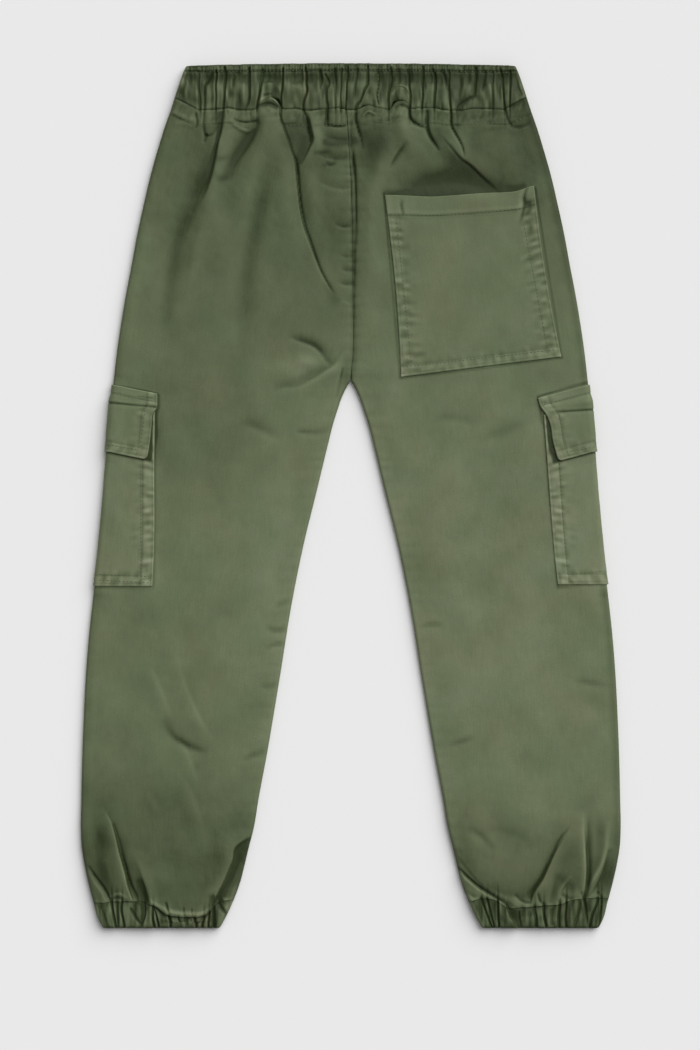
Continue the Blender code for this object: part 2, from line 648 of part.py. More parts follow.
def add_back_pocket(back):
    """Make the patch pocket on the seat, with its hem standing a little off the panel."""
    across = np.linspace(0, 1, POCKET_COLUMNS)
    down = np.array(POCKET_ROWS)
    grid = np.empty((len(down), len(across), 3))
    for row, v in enumerate(down):
        for column, u in enumerate(across):
            top = np.array(POCKET_TOP_LEFT) * (1 - u) + np.array(POCKET_TOP_RIGHT) * u
            bottom = np.array(POCKET_BOTTOM_LEFT) * (1 - u) + np.array(POCKET_BOTTOM_RIGHT) * u
            x, drop = top * (1 - v) + bottom * v
            x += POCKET_EDGE_BOW * math.sin(math.pi * v) * (1 - 2 * u)
            drop += POCKET_MOUTH_SAG * math.sin(math.pi * u) * (1 - v)
            grid[row, column] = (x, LENGTH / 2 - drop, back.height_at(x, drop))
    normal = grid_normals(grid, True, 1)
    gape = POCKET_GAPE * np.sin(math.pi * across)[None, :] * ((1 - down) ** 3)[:, None]
    hem_end = POCKET_HEM / (POCKET_BOTTOM_LEFT[1] - POCKET_TOP_LEFT[1])
    hem = POCKET_HEM_EXTRA * (down <= hem_end)[:, None]
    inner = grid + normal * (SEAM_GAP + gape)[..., None]
    outer = grid + normal * (SEAM_GAP + gape + PATCH_CLOTH + hem)[..., None]
    add_wall("back_pocket", outer, inner, OLIVE_LIGHT)


def panel_rows(is_back, pocket_end):
    """List the drops of a panel's rows, closest where it is gathered and at the crotch."""
    seat_steps = BACK_SEAT_STEPS if is_back else FRONT_SEAT_STEPS
    ankle_steps = BACK_ANKLE_STEPS if is_back else FRONT_ANKLE_STEPS
    seat = np.linspace(BAND_DEPTH + SEAM_GAP / 2, SEAT_END, seat_steps)
    ankle = np.linspace(ANKLE_START, CUFF_SEAM - SEAM_GAP / 2, ankle_steps)
    thigh = BACK_THIGH_ROWS if is_back else FRONT_THIGH_ROWS
    shin = BACK_SHIN_ROWS if is_back else FRONT_SHIN_ROWS
    mouth_edge = (POCKET_MOUTH - CARGO_RAMP, POCKET_MOUTH - 1)
    flap_edge = (FLAP_BOTTOM + 1, FLAP_BOTTOM + 1 + CARGO_RAMP)
    pocket_edge = (pocket_end + 1, pocket_end + 1 + CARGO_RAMP)
    cargo = (*mouth_edge, FLAP_MIDDLE, *flap_edge, *POCKET_MIDDLE_ROWS, *pocket_edge)
    return [*seat, *thigh, *CROTCH_ROWS, *cargo, *shin, *ankle]


def remove_everything():
    """Empty the scene."""
    for thing in list(bpy.data.objects):
        bpy.data.objects.remove(thing, do_unlink=True)


def main():
    """Build the pants."""
    remove_everything()
    for cargo in CARGOS:
        back = Panel(cargo, True, panel_rows(True, cargo.pocket_end), BACK_STEPS)
        front = Panel(cargo, False, panel_rows(False, cargo.pocket_end), FRONT_STEPS)
        add_wall("back_" + cargo.name, *back.wall(), OLIVE)
        add_wall("front_" + cargo.name, *front.wall(), OLIVE)
        add_cargo(cargo, back, front)
        if cargo.sign > 0:
            add_back_pocket(back)
    add_waistband()
    add_cuff("cuff_left", -1, LEFT_CUFF_CREASES)
    add_cuff("cuff_right", 1, RIGHT_CUFF_CREASES)


main()
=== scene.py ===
"""Child's cargo joggers in garment-dyed olive cotton twill, laid flat with the back up.

Sizes are in millimetres and turn into metres when a mesh is made. A "drop" is a distance down from
the waist edge, "left" and "right" are as the pants lie here, and a "row" is a drop on the flat cloth,
before the seams bend it.
"""

import logging
import math
from dataclasses import dataclass
from enum import Enum
from typing import Iterable

import bmesh
import bpy
import numpy as np
from mathutils import Matrix, Vector
from mathutils.bvhtree import BVHTree


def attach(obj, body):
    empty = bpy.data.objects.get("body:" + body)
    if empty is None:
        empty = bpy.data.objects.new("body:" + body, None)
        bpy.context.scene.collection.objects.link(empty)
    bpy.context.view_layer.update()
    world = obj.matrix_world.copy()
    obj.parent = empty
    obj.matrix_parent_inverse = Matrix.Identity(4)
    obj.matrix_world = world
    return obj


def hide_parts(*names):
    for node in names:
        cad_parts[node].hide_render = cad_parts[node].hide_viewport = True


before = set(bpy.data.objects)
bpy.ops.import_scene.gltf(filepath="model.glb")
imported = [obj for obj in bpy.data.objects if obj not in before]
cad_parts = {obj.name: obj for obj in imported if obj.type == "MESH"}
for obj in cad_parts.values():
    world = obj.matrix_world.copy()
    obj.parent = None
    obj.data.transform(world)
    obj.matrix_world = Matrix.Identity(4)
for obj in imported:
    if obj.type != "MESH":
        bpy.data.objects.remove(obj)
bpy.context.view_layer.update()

LOG = logging.getLogger("joggers")
MM = 0.001
QUARTER = math.pi / 2
FLOOR_CLEARANCE = 0.02  # mm that a wrapped patch stays off the surface
LEAST_PATCH = 0.1  # thinnest cloth of a patch, in mm
PATCH_ROUNDNESS = 0.9  # radius of a patch's folded edge, in mm
FLAT_TURN = 0.999  # sine of the turn above which cloth counts as flat
WAVE_CELLS = 128  # cells of a ripple's lattice each way, before it repeats
WAVE_START = 500  # cells that keep every place on the lattice above zero

Grid = np.ndarray
Route = tuple[tuple[float, float, float], ...]


def ease(value: Grid | float) -> Grid:
    """Turn 0 to 1 into a soft step that starts and ends level."""
    t = np.clip(value, 0.0, 1.0)
    return t * t * (3 - 2 * t)


def bell(away: Grid, width: float) -> Grid:
    """Give a soft hump of height 1 over a distance."""
    return np.exp(-((away / width) ** 2))


def higher(one: Grid, other: Grid | float, rounding: float = 0.3) -> Grid:
    """Take the higher of two heights, with the corner between them rounded."""
    return 0.5 * (one + other + np.sqrt((one - other) ** 2 + rounding**2))


@dataclass(frozen=True)
class Line:
    """A smooth line through given (place, value) points."""

    points: tuple[tuple[float, float], ...]

    def at(self, place: Grid | float) -> Grid:
        """Read the line.

        Args:
            place: Where to read it, held inside the first and last point.

        Returns:
            The values there.
        """
        knots = np.array([point[0] for point in self.points], dtype=float)
        values = np.array([point[1] for point in self.points], dtype=float)
        slopes = np.gradient(values, knots)
        where = np.clip(np.asarray(place, dtype=float), knots[0], knots[-1])
        low = np.clip(np.searchsorted(knots, where, side="right") - 1, 0, len(knots) - 2)
        span = knots[low + 1] - knots[low]
        t = (where - knots[low]) / span
        near = (2 * t**3 - 3 * t**2 + 1) * values[low] + (t**3 - 2 * t**2 + t) * span * slopes[low]
        far = (3 * t**2 - 2 * t**3) * values[low + 1] + (t**3 - t**2) * span * slopes[low + 1]
        return near + far


@dataclass(frozen=True)
class Ripple:
    """Soft, irregular waves of cloth, from a seeded lattice of heights."""

    seed: int
    across: float
    along: float
    turn: float = 0.0

    def at(self, x: Grid, drop: Grid) -> Grid:
        """Give the waves' height, from about -1 to 1, at some points.

        Args:
            x: Places across, in mm.
            drop: Places down, in mm.

        Returns:
            The heights.
        """
        lattice = np.random.default_rng(self.seed).uniform(-1, 1, (WAVE_CELLS, WAVE_CELLS))
        cosine, sine = math.cos(math.radians(self.turn)), math.sin(math.radians(self.turn))
        u = (x * cosine + drop * sine) / self.across + WAVE_START
        v = (drop * cosine - x * sine) / self.along + WAVE_START
        column, row = np.floor(u).astype(int), np.floor(v).astype(int)
        fu, fv = ease(u - column), ease(v - row)
        here, beside = column % WAVE_CELLS, (column + 1) % WAVE_CELLS
        near, far = (
            lattice[line % WAVE_CELLS, here] * (1 - fu) + lattice[line % WAVE_CELLS, beside] * fu
            for line in (row, row + 1))
        return near * (1 - fv) + far * fv


class Edge(Enum):
    """How the crest of a crease ends at its sides."""

    SOFT = "soft"
    CRISP = "crisp"


@dataclass(frozen=True)
class Crease:
    """One crease along a route of (x, drop, height) points. A height below zero is a trough.

    It runs out over `left` mm on the left of a route that runs down, which is below one that runs
    right, and over `right` mm on the other side.
    """

    route: Route
    left: float
    right: float
    edge: Edge = Edge.SOFT

    def bends(self) -> Grid:
        """Round the route's corners off.

        Returns:
            Closer (x, drop, height) points along a smooth curve through the route's own.
        """
        knots = np.array(self.route, dtype=float)
        if len(knots) < 3:
            return knots
        padded = np.vstack((2 * knots[0] - knots[1], knots, 2 * knots[-1] - knots[-2]))
        steps = np.linspace(0, 1, 5)[:-1, None]
        spans = []
        for before, start, end, after in zip(padded, padded[1:], padded[2:], padded[3:]):
            lean_in, lean_out = (end - before) / 2, (after - start) / 2
            bend = 2 * (start - end) + lean_in + lean_out
            sag = 3 * (end - start) - 2 * lean_in - lean_out
            spans.append(start + steps * (lean_in + steps * (sag + steps * bend)))
        return np.vstack((*spans, knots[-1:]))

    def relief(self, x: Grid, drop: Grid) -> Grid:
        """Give the crease's height at some points.

        Args:
            x: Places across, in mm.
            drop: Places down, in mm.

        Returns:
            The heights in mm, zero away from the crease.
        """
        route = self.bends()
        spread = (2.6 if self.edge is Edge.SOFT else 4.6) * max(self.left, self.right)
        low, high = route.min(axis=0) - spread, route.max(axis=0) + spread
        near = (x > low[0]) & (x < high[0]) & (drop > low[1]) & (drop < high[1])
        height = np.zeros(x.shape)
        if not near.any():
            return height
        px, pd = x[near], drop[near]
        best = np.full(px.shape, np.inf)
        crest, lean = np.zeros(px.shape), np.zeros(px.shape)
        for (x0, d0, h0), (x1, d1, h1) in zip(route, route[1:]):
            run_x, run_d = x1 - x0, d1 - d0
            run = run_x**2 + run_d**2
            t = np.clip(((px - x0) * run_x + (pd - d0) * run_d) / run, 0, 1)
            off_x, off_d = px - x0 - t * run_x, pd - d0 - t * run_d
            away = off_x**2 + off_d**2
            closer = away < best
            best = np.where(closer, away, best)
            crest = np.where(closer, h0 + t * (h1 - h0), crest)
            side = (run_x * off_d - run_d * off_x) / (np.sqrt(run * away) + 1e-6)
            lean = np.where(closer, side, lean)
        share = (lean + 1) / 2
        reach = self.right + (self.left - self.right) * share
        away = np.sqrt(best) / reach
        if self.edge is Edge.SOFT:
            height[near] = crest * np.exp(-(away**2))
        else:
            height[near] = crest * np.exp(0.25 - np.sqrt(away**2 + 0.0625))
        return height


def creases_relief(creases: Iterable[Crease], x: Grid, drop: Grid) -> Grid:
    """Add up the heights of several creases at some points."""
    total = np.zeros(np.shape(x))
    for crease in creases:
        total += crease.relief(x, drop)
    return total


def creases(edge: Edge, *rows: tuple) -> tuple[Crease, ...]:
    """Make creases of one kind.

    Args:
        edge: How their crests end at the sides.
        *rows: For each crease its widths on the left and the right, then the points of its route.

    Returns:
        The creases.
    """
    return tuple(Crease(tuple(route), left, right, edge) for left, right, *route in rows)


@dataclass(frozen=True)
class Pucker:
    """Small tucks that a row of stitches pulls into the cloth beside it."""

    seed: int
    pitch: float = 8.0
    depth: float = 0.5

    def at(self, along: Grid) -> Grid:
        """Give the tucks' depth, at or below zero, along the seam.

        Args:
            along: Distances along the seam, in mm.

        Returns:
            The heights in mm, from minus the depth to zero.
        """
        drift = Ripple(self.seed, 2.3 * self.pitch, 1.0).at(along, 0 * along)
        strength = 0.65 + 0.35 * Ripple(self.seed + 1, 1.7 * self.pitch, 1.0).at(along, 0 * along)
        phase = along / self.pitch + 0.45 * drift
        return -self.depth * strength * (0.5 - 0.5 * np.cos(2 * math.pi * phase)) ** 1.5


@dataclass(frozen=True)
class LightAndShadePatch:
    """A broad patch of painted tone: painted shade where its amount is below zero, painted light where it is above.
    """

    x: float
    drop: float
    across: float
    along: float
    amount: float

    def at(self, x: Grid, drop: Grid) -> Grid:
        """Give the patch's share of the painted light and shade at some points."""
        return self.amount * np.exp(-(((x - self.x) / self.across) ** 2) - ((drop - self.drop) / self.along) ** 2)


@dataclass(frozen=True)
class LaidForm:
    """The pants' outline and thickness as they lie, in the sizes that the solids have."""

    length: float = 693.6
    band_depth: float = 37.2
    cuff_seam: float = 672.0
    crotch: float = 254.4
    crotch_dip: float = 10.0
    seam_gap: float = 0.3
    cloth: float = 1.1
    waist_bow: float = 2.0
    seam_climb: float = 9.6
    climb_reach: float = 22.0
    climb_fade: float = 100.0
    crown_reach: float = 25.0
    least_height: float = 3.4
    least_share: float = 0.25
    arch_start: float = 9.0
    arch_fade: float = 40.0
    sag_start: float = 628.0
    sag_fade: float = 20.5
    side: Line = Line((
        (0, 131.2), (6, 134.0), (20, 139.0), (37, 144.4), (50, 149.0), (66, 154.0), (90, 160.8),
        (114, 166.4), (138, 171.6), (162, 176.0), (186, 180.6), (210, 184.6), (234, 188.0),
        (254, 190.2), (280, 192.4), (306, 194.6), (344, 197.9), (392, 202.3), (430, 207.0),
        (462, 210.4), (494, 212.8), (526, 214.4), (558, 215.6), (590, 216.3), (614, 216.7),
        (628, 216.0), (643, 213.6), (657, 210.4), (672, 206.4), (686, 202.8), (694, 198.6),
    ))
    inseam: Line = Line((
        (254.4, 0.0), (256, 1.3), (258, 2.5), (268, 7.4), (277, 10.4), (287, 13.6), (306, 18.4),
        (344, 27.6), (383, 37.2), (430, 46.8), (494, 57.2), (558, 68.0), (590, 74.0), (614, 78.0),
        (628, 81.6), (643, 85.2), (657, 88.8), (672, 94.4), (686, 100.8), (694, 105.4),
    ))
    fold: Line = Line((
        (0, 7.0), (37, 7.0), (60, 6.6), (120, 6.0), (200, 5.4), (254, 5.0), (330, 5.0), (450, 5.0),
        (560, 5.2), (620, 5.8), (655, 6.4), (672, 6.6), (694, 6.4),
    ))
    crown: Line = Line((
        (0, 8.4), (37, 9.0), (60, 9.2), (120, 8.2), (200, 6.8), (254, 6.2), (330, 6.0), (450, 5.8),
        (560, 6.4), (620, 8.4), (655, 9.2), (672, 8.4), (694, 7.6),
    ))
    centre_seam: Line = Line((
        (37, -3.0), (110, 0.8), (190, 1.6), (235, 1.6), (254.4, 0.0), (300, 0.0),
    ))
    # Where the seat puffs up over the waistband: (x, half width, rise)
    arches: tuple[tuple[float, float, float], ...] = ((-65.2, 8.6, 9.4), (40.0, 6.8, 7.4), (14.5, 5.0, 2.2))
    # How far the leg sags over its cuff, by x
    sags: tuple[Line, Line] = (
        Line(((-206, 1), (-180, 0), (-166, 1), (-158, 3.6), (-149, 9.6), (-141, 11.6), (-130, 12.8), (-121, 12.8),
              (-114, 10), (-109, 3), (-105, 0), (-95, -1))),
        Line(((96, -1), (117, 0), (126, 5), (136, 5), (148, 3.6), (156, 3), (168, 1.5), (180, -1.6), (198, -3),
              (206, -2))),
    )

    def inner_reach(self, drop: Grid) -> Grid:
        """Distance from the centre line to the inseam fold, zero above the crotch."""
        return np.where(np.asarray(drop) > self.crotch, self.inseam.at(drop), 0.0)

    def split(self, drop: Grid) -> Grid:
        """How far the inner edge is a fold of its own: 0 at the seat, 1 on the legs."""
        return ease((np.asarray(drop, dtype=float) - self.crotch + self.crotch_dip) / self.crotch_dip)

    def climb(self, from_side: Grid, row: Grid) -> Grid:
        """How far a row near the band's seam bends up towards the side fold."""
        near = np.clip(1 - from_side / self.climb_reach, 0, 1) * np.clip(row / self.band_depth, 0, 1)
        fade = (row - self.band_depth) / (self.climb_fade - self.band_depth)
        return self.seam_climb * near * (1 - ease(fade))

    def arch(self, x: Grid, row: Grid) -> Grid:
        """How far the band's seam is pushed up by the seat cloth that puffs over it."""
        rise = sum(height * bell((x - centre) ** 2, half**2) for centre, half, height in self.arches)
        rise = rise + 1.1 * Ripple(71, 11, 300).at(x, 0 * x) * ease((132 - np.abs(x)) / 12)
        started = ease((row - self.arch_start) / (self.band_depth - self.arch_start))
        return rise * started * (1 - ease((row - self.band_depth) / self.arch_fade))

    def sag(self, x: Grid, row: Grid) -> Grid:
        """How far the leg's cloth sags over the cuff's seam."""
        low = np.where(x < 0, self.sags[0].at(x), self.sags[1].at(x)) + 0.7 * Ripple(73, 6, 300).at(x, 0 * x)
        started = ease((row - self.sag_start) / (self.cuff_seam - self.sag_start))
        return low * started * (1 - ease((row - self.cuff_seam) / self.sag_fade))


FORM = LaidForm()


@dataclass(frozen=True)
class Gathers:
    """The gathers of a casing. The creases between them have a pinch, below zero, for their height."""

    creases: tuple[Crease, ...]
    height: float
    seed: int

    def share(self, x: Grid, row: Grid) -> Grid:
        """Give the gathers' height share: 1 on a wide crown, near 0 in a deep crease."""
        sway = 0.7 * Ripple(self.seed + 3, 13, 9).at(x, row)
        return np.exp(creases_relief(self.creases, x + sway, row))

    def relief(self, x: Grid, row: Grid) -> Grid:
        """Give the gathers' height in mm, with their crowns uneven."""
        uneven = 0.5 * Ripple(self.seed, 10, 16).at(x, row) + 0.38 * Ripple(self.seed + 1, 3.6, 12).at(x, row)
        return self.height * self.share(x, row) * (1 + 0.5 * uneven) + uneven


@dataclass
class Cargo:
    """Sizes of one cargo pocket and its flap, wrapped round a side fold and measured from it."""

    name: str
    sign: int
    pocket_top: float
    pocket_bottom: float
    flap_reach: float
    slant: float
    pocket_end: float
    # How far the flap's side edge is drawn in, by share of its height
    flap_side: Line
    # The fold across the flap: its distance from the top edge, and how that grows across
    flap_fold: tuple[float, float]
    pocket_start: float = 272.0
    flap_start: float = 257.6
    flap_end: float = 311.6
    pocket_girth: float = 96.0
    flap_girth: float = 99.0
    bend_rows: tuple[float, float] = (244.4, 370.0)
    bend_reach: float = 46.0
    cloth: float = 1.0
    ramp: float = 7.0
    strip: float = 9.5
    flap_strip: float = 8.5
    corner: float = 3.5
    pocket_steps: tuple[int, int] = (176, 112)
    flap_steps: tuple[int, int] = (88, 120)

    @property
    def lift(self) -> float:
        """How far one layer of the patch stands off the cloth below."""
        return FORM.seam_gap + self.cloth

    def bend(self, from_side: Grid, row: Grid) -> Grid:
        """How far the rows round the flap bend down, away from the side fold."""
        first, last = self.bend_rows
        strength = ease((row - first) / (self.flap_start - 1 - first))
        strength = strength * (1 - ease((row - self.flap_end - 1) / (last - self.flap_end - 1)))
        fade = 1 - ease((from_side - self.bend_reach) / 60)
        return self.slant * np.minimum(from_side, self.bend_reach) * fade * strength

    def drape(self, from_side: Grid, row: Grid) -> Grid:
        """How far the back's cloth drapes over what lies under it, level with the front at the side fold."""
        held = 1.9 * ease((row - 236) / 50) * (1 - ease((row - self.pocket_end + 18) / 50))
        held = held * ease((100 - from_side) / 64)
        return held + (self.rest(from_side, row) - held) * (1 - ease(from_side / 14))

    def rest(self, from_side: Grid, row: Grid) -> Grid:
        """How far the patches underneath hold the leg off the surface."""
        mouth, hem, end = self.pocket_start, self.flap_end, self.pocket_end
        flap = np.interp(row, (self.flap_start - self.ramp, self.flap_start - 1), (0, self.lift))
        steps = (mouth - self.ramp, mouth - 1, hem + 1, hem + 1 + self.ramp)
        both = np.interp(row, steps, (0, self.lift, self.lift, 0))
        gone = np.interp(row, (end + 1, end + 1 + self.ramp), (0, self.lift))
        return (flap + both - gone) * ease((76 - from_side) / 12)


def spaced(length: float, count: int, edge: float = 2.4, share: float = 0.12) -> Grid:
    """Space places along a length, closer at both ends.

    Args:
        length: The whole length, in mm.
        count: Number of steps.
        edge: Length at each end that is closer spaced.
        share: Share of the steps that each end takes.

    Returns:
        The places, from 0 to the length.
    """
    return np.interp(np.linspace(0, 1, count + 1), (0, share, 1 - share, 1), (0, edge, length - edge, length))


def upward(grid: Grid) -> Grid:
    """Find a grid's unit normals, on the side that points up at its first columns."""
    down_rows, along_row = np.gradient(grid, axis=0), np.gradient(grid, axis=1)
    normal = np.cross(down_rows, along_row)
    normal /= np.linalg.norm(normal, axis=2)[..., None] + 1e-12
    return normal if normal[:, 2, 2].sum() > 0 else -normal


def proud(height: Grid, size: int) -> Grid:
    """Show how far a grid of heights stands over its own neighbourhood.

    Args:
        height: Heights on a grid.
        size: Half the neighbourhood's width, in grid steps.

    Returns:
        The differences from the neighbourhood's mean.
    """
    mean = height
    for axis in (0, 1):
        padded = np.pad(mean, [(size, size) if a == axis else (0, 0) for a in (0, 1)], mode="edge")
        total = np.cumsum(padded, axis=axis)
        total = np.concatenate((np.zeros_like(np.take(total, [0], axis=axis)), total), axis=axis)
        count, span = mean.shape[axis], 2 * size + 1
        upper = np.take(total, np.arange(span, span + count), axis=axis)
        mean = (upper - np.take(total, np.arange(count), axis=axis)) / span
    return height - mean


def rounded_edge(*aways: Grid) -> Grid:
    """Round a patch's folded edges down: 0 at an edge and 1 from the rounding inwards."""
    return math.prod(np.sqrt(1 - (1 - np.clip(away / PATCH_ROUNDNESS, 0, 1)) ** 2) for away in aways)


def wire(tree: bpy.types.NodeTree, node: bpy.types.Node, **inputs: object) -> None:
    """Set or link a node's inputs.

    Args:
        tree: The node's tree.
        node: The node.
        **inputs: A value or an output socket for each input, by its name with _ for a space, or by
            n and its number.
    """
    for key, value in inputs.items():
        name = key.replace("_", " ")
        socket = node.inputs[int(name[1:])] if name[0] == "n" and name[1:].isdigit() else node.inputs[name]
        if isinstance(value, bpy.types.NodeSocket):
            tree.links.new(value, socket)
        else:
            socket.default_value = value


def add_node(tree: bpy.types.NodeTree, kind: str, settings: dict | None = None, **inputs: object) -> bpy.types.Node:
    """Add a node with its settings and its links.

    Args:
        tree: The node tree to add to.
        kind: The node's type, without the words that all types start with.
        settings: Attributes of the node itself.
        **inputs: A value or an output socket for each input.

    Returns:
        The node.
    """
    node = tree.nodes.new("ShaderNode" + kind)
    for key, value in (settings or {}).items():
        setattr(node, key, value)
    wire(tree, node, **inputs)
    return node


def start_material(name: str) -> tuple[bpy.types.Material, bpy.types.NodeTree, bpy.types.Node]:
    """Start a material, with its node tree and its shader."""
    material = bpy.data.materials.new(name)
    material.use_nodes = True
    return material, material.node_tree, material.node_tree.nodes["Principled BSDF"]


def linear(colour: str) -> tuple[float, float, float, float]:
    """Turn an sRGB hex colour into linear channels."""
    channels = [int(colour[i:i + 2], 16) / 255 for i in (1, 3, 5)]
    turned = [c / 12.92 if c <= 0.04045 else ((c + 0.055) / 1.055) ** 2.4 for c in channels]
    return (turned[0], turned[1], turned[2], 1.0)


@dataclass(frozen=True)
class CottonTwill:
    """Garment-dyed cotton twill, brushed and washed once.

    It looks soft and matt with a faint satin face, and its dye has rubbed paler along stitched edges
    and a little on crests. Its colour also carries painted light on crests and rims and painted shade
    in creases, hollows and beside raised edges.
    """

    name: str = "garment_dyed_cotton_twill"
    # The tone runs from deep, for painted shade, through the dye to worn, for rubbed dye and painted light
    deep: str = "#293317"
    dye: str = "#60694D"
    worn: str = "#898E75"
    roughness: tuple[float, float] = (0.56, 0.74)
    sheen: float = 0.12
    sheen_roughness: float = 0.45
    sheen_tint: str = "#BFC79F"
    specular: float = 0.27
    rib: float = 1.1  # twill ribs are 0.45 mm apart, too fine to show, so they are drawn wider
    rib_slant: float = 32.0
    yarn: float = 0.8
    slub: tuple[float, float] = (1.3, 16.0)
    mottle: float = 26.0
    hue_patch: float = 48.0
    greener: str = "#F7FFF9"
    browner: str = "#FFFCF8"
    mid_shade: float = 0.19
    shares: tuple[float, float, float] = (0.26, 0.16, 0.20)
    rib_bump: float = 0.10
    grain_bump: float = 0.16

    def material(self) -> bpy.types.Material:
        """Build the cloth's material.

        Returns:
            The material, which reads the "cloth" UV map and the point attribute of worn dye and painted light and
            shade.
        """
        material, tree, shader = start_material(self.name)
        cloth = add_node(tree, "UVMap", {"uv_map": "cloth"}).outputs["UV"]
        wear_and_shade = add_node(tree, "Attribute", {"attribute_name": "wear_and_shade"}).outputs["Fac"]
        place = add_node(tree, "TexCoord").outputs["Object"]
        across, along = self.slub
        drawn = add_node(tree, "Mapping", Vector=cloth, Scale=(along / across, 1.0, 1.0)).outputs["Vector"]
        turned = add_node(
            tree, "Mapping", Vector=cloth, Rotation=(0.0, 0.0, math.radians(self.rib_slant))).outputs["Vector"]
        mottle, slubs, grain, patches = (
            add_node(tree, "TexNoise", Vector=vector, Scale=1 / (size * MM), Detail=detail).outputs["Fac"]
            for vector, size, detail in (
                (place, self.mottle, 3.0), (drawn, along, 3.0),
                (place, self.yarn, 2.0), (place, self.hue_patch, 3.0)))
        ribs = add_node(
            tree, "TexWave", {"wave_type": "BANDS", "bands_direction": "X"}, Vector=turned,
            Scale=0.314 / (self.rib * MM), Distortion=1.2, Detail=1.0, Detail_Scale=2.0).outputs["Fac"]

        shade: object = self.mid_shade
        for part, share in zip((mottle, slubs, grain), self.shares):
            shade = add_node(tree, "Math", {"operation": "MULTIPLY_ADD"}, n0=part, n1=share, n2=shade).outputs[0]
        # The point attribute adds the painted light and shade and the rubbed dye to the random tone
        shade = add_node(
            tree, "Math", {"operation": "MULTIPLY_ADD", "use_clamp": True}, n0=wear_and_shade, n1=0.5, n2=shade).outputs[0]
        shade_tone = add_node(tree, "ValToRGB", Fac=shade)
        hue = add_node(tree, "ValToRGB", Fac=patches)
        for ramp, stops in (
                (shade_tone, ((0.0, self.deep), (1.0, self.worn))), (hue, ((0.32, self.greener), (0.68, self.browner)))):
            for stop, (position, colour) in zip(ramp.color_ramp.elements, stops):
                stop.position, stop.color = position, linear(colour)
        shade_tone.color_ramp.elements.new(0.5).color = linear(self.dye)
        tinted = add_node(
            tree, "Mix", {"data_type": "RGBA", "blend_type": "MULTIPLY"}, n0=1.0,
            n6=shade_tone.outputs["Color"], n7=hue.outputs["Color"]).outputs[2]

        smooth, rough = self.roughness
        gloss = add_node(
            tree, "MapRange", Value=slubs, From_Min=0.3, From_Max=0.7, To_Min=smooth, To_Max=rough).outputs["Result"]
        grained = add_node(
            tree, "Bump", Strength=self.grain_bump, Distance=0.3 * MM, Height=grain).outputs["Normal"]
        woven = add_node(
            tree, "Bump", Strength=self.rib_bump, Distance=0.25 * MM, Height=ribs, Normal=grained).outputs["Normal"]
        wire(
            tree, shader, Base_Color=tinted, Roughness=gloss, Normal=woven, Specular_IOR_Level=self.specular,
            Sheen_Weight=self.sheen, Sheen_Roughness=self.sheen_roughness, Sheen_Tint=linear(self.sheen_tint))
        return material


@dataclass(frozen=True)
class SewingThread:
    """Spun polyester thread, dyed to the cloth, which shows as small, slightly shiny grains."""

    name: str = "spun_polyester_thread"
    colour: str = "#485337"
    pale: str = "#687254"
    roughness: float = 0.5
    specular: float = 0.4

    def material(self) -> bpy.types.Material:
        """Build the thread's material, which varies a little along a row."""
        material, tree, shader = start_material(self.name)
        place = add_node(tree, "TexCoord").outputs["Object"]
        blots = add_node(tree, "TexNoise", Vector=place, Scale=1 / (6 * MM)).outputs["Fac"]
        mixed = add_node(
            tree, "Mix", {"data_type": "RGBA"}, n0=blots, n6=linear(self.colour), n7=linear(self.pale)).outputs[2]
        wire(tree, shader, Base_Color=mixed, Roughness=self.roughness, Specular_IOR_Level=self.specular)
        return material


@dataclass(frozen=True)
class MattPaper:
    """Seamless studio paper, which shows as one even pale grey."""

    name: str = "matt_seamless_paper"
    colour: str = "#EAEAEA"
    roughness: float = 0.95
    specular: float = 0.1

    def material(self) -> bpy.types.Material:
        """Build the paper's material."""
        material, tree, shader = start_material(self.name)
        wire(tree, shader, Base_Color=linear(self.colour), Roughness=self.roughness, Specular_IOR_Level=self.specular)
        return material


def to_mesh(body: bmesh.types.BMesh, name: str) -> bpy.types.Mesh:
    """Make a named mesh of a shape, and free the shape."""
    mesh = bpy.data.meshes.new(name)
    body.to_mesh(mesh)
    body.free()
    return mesh


def put(name: str, data: bpy.types.ID) -> bpy.types.Object:
    """Put a new object in the scene, unturned at the origin."""
    made = bpy.data.objects.new(name, data)
    bpy.context.collection.objects.link(made)
    return made


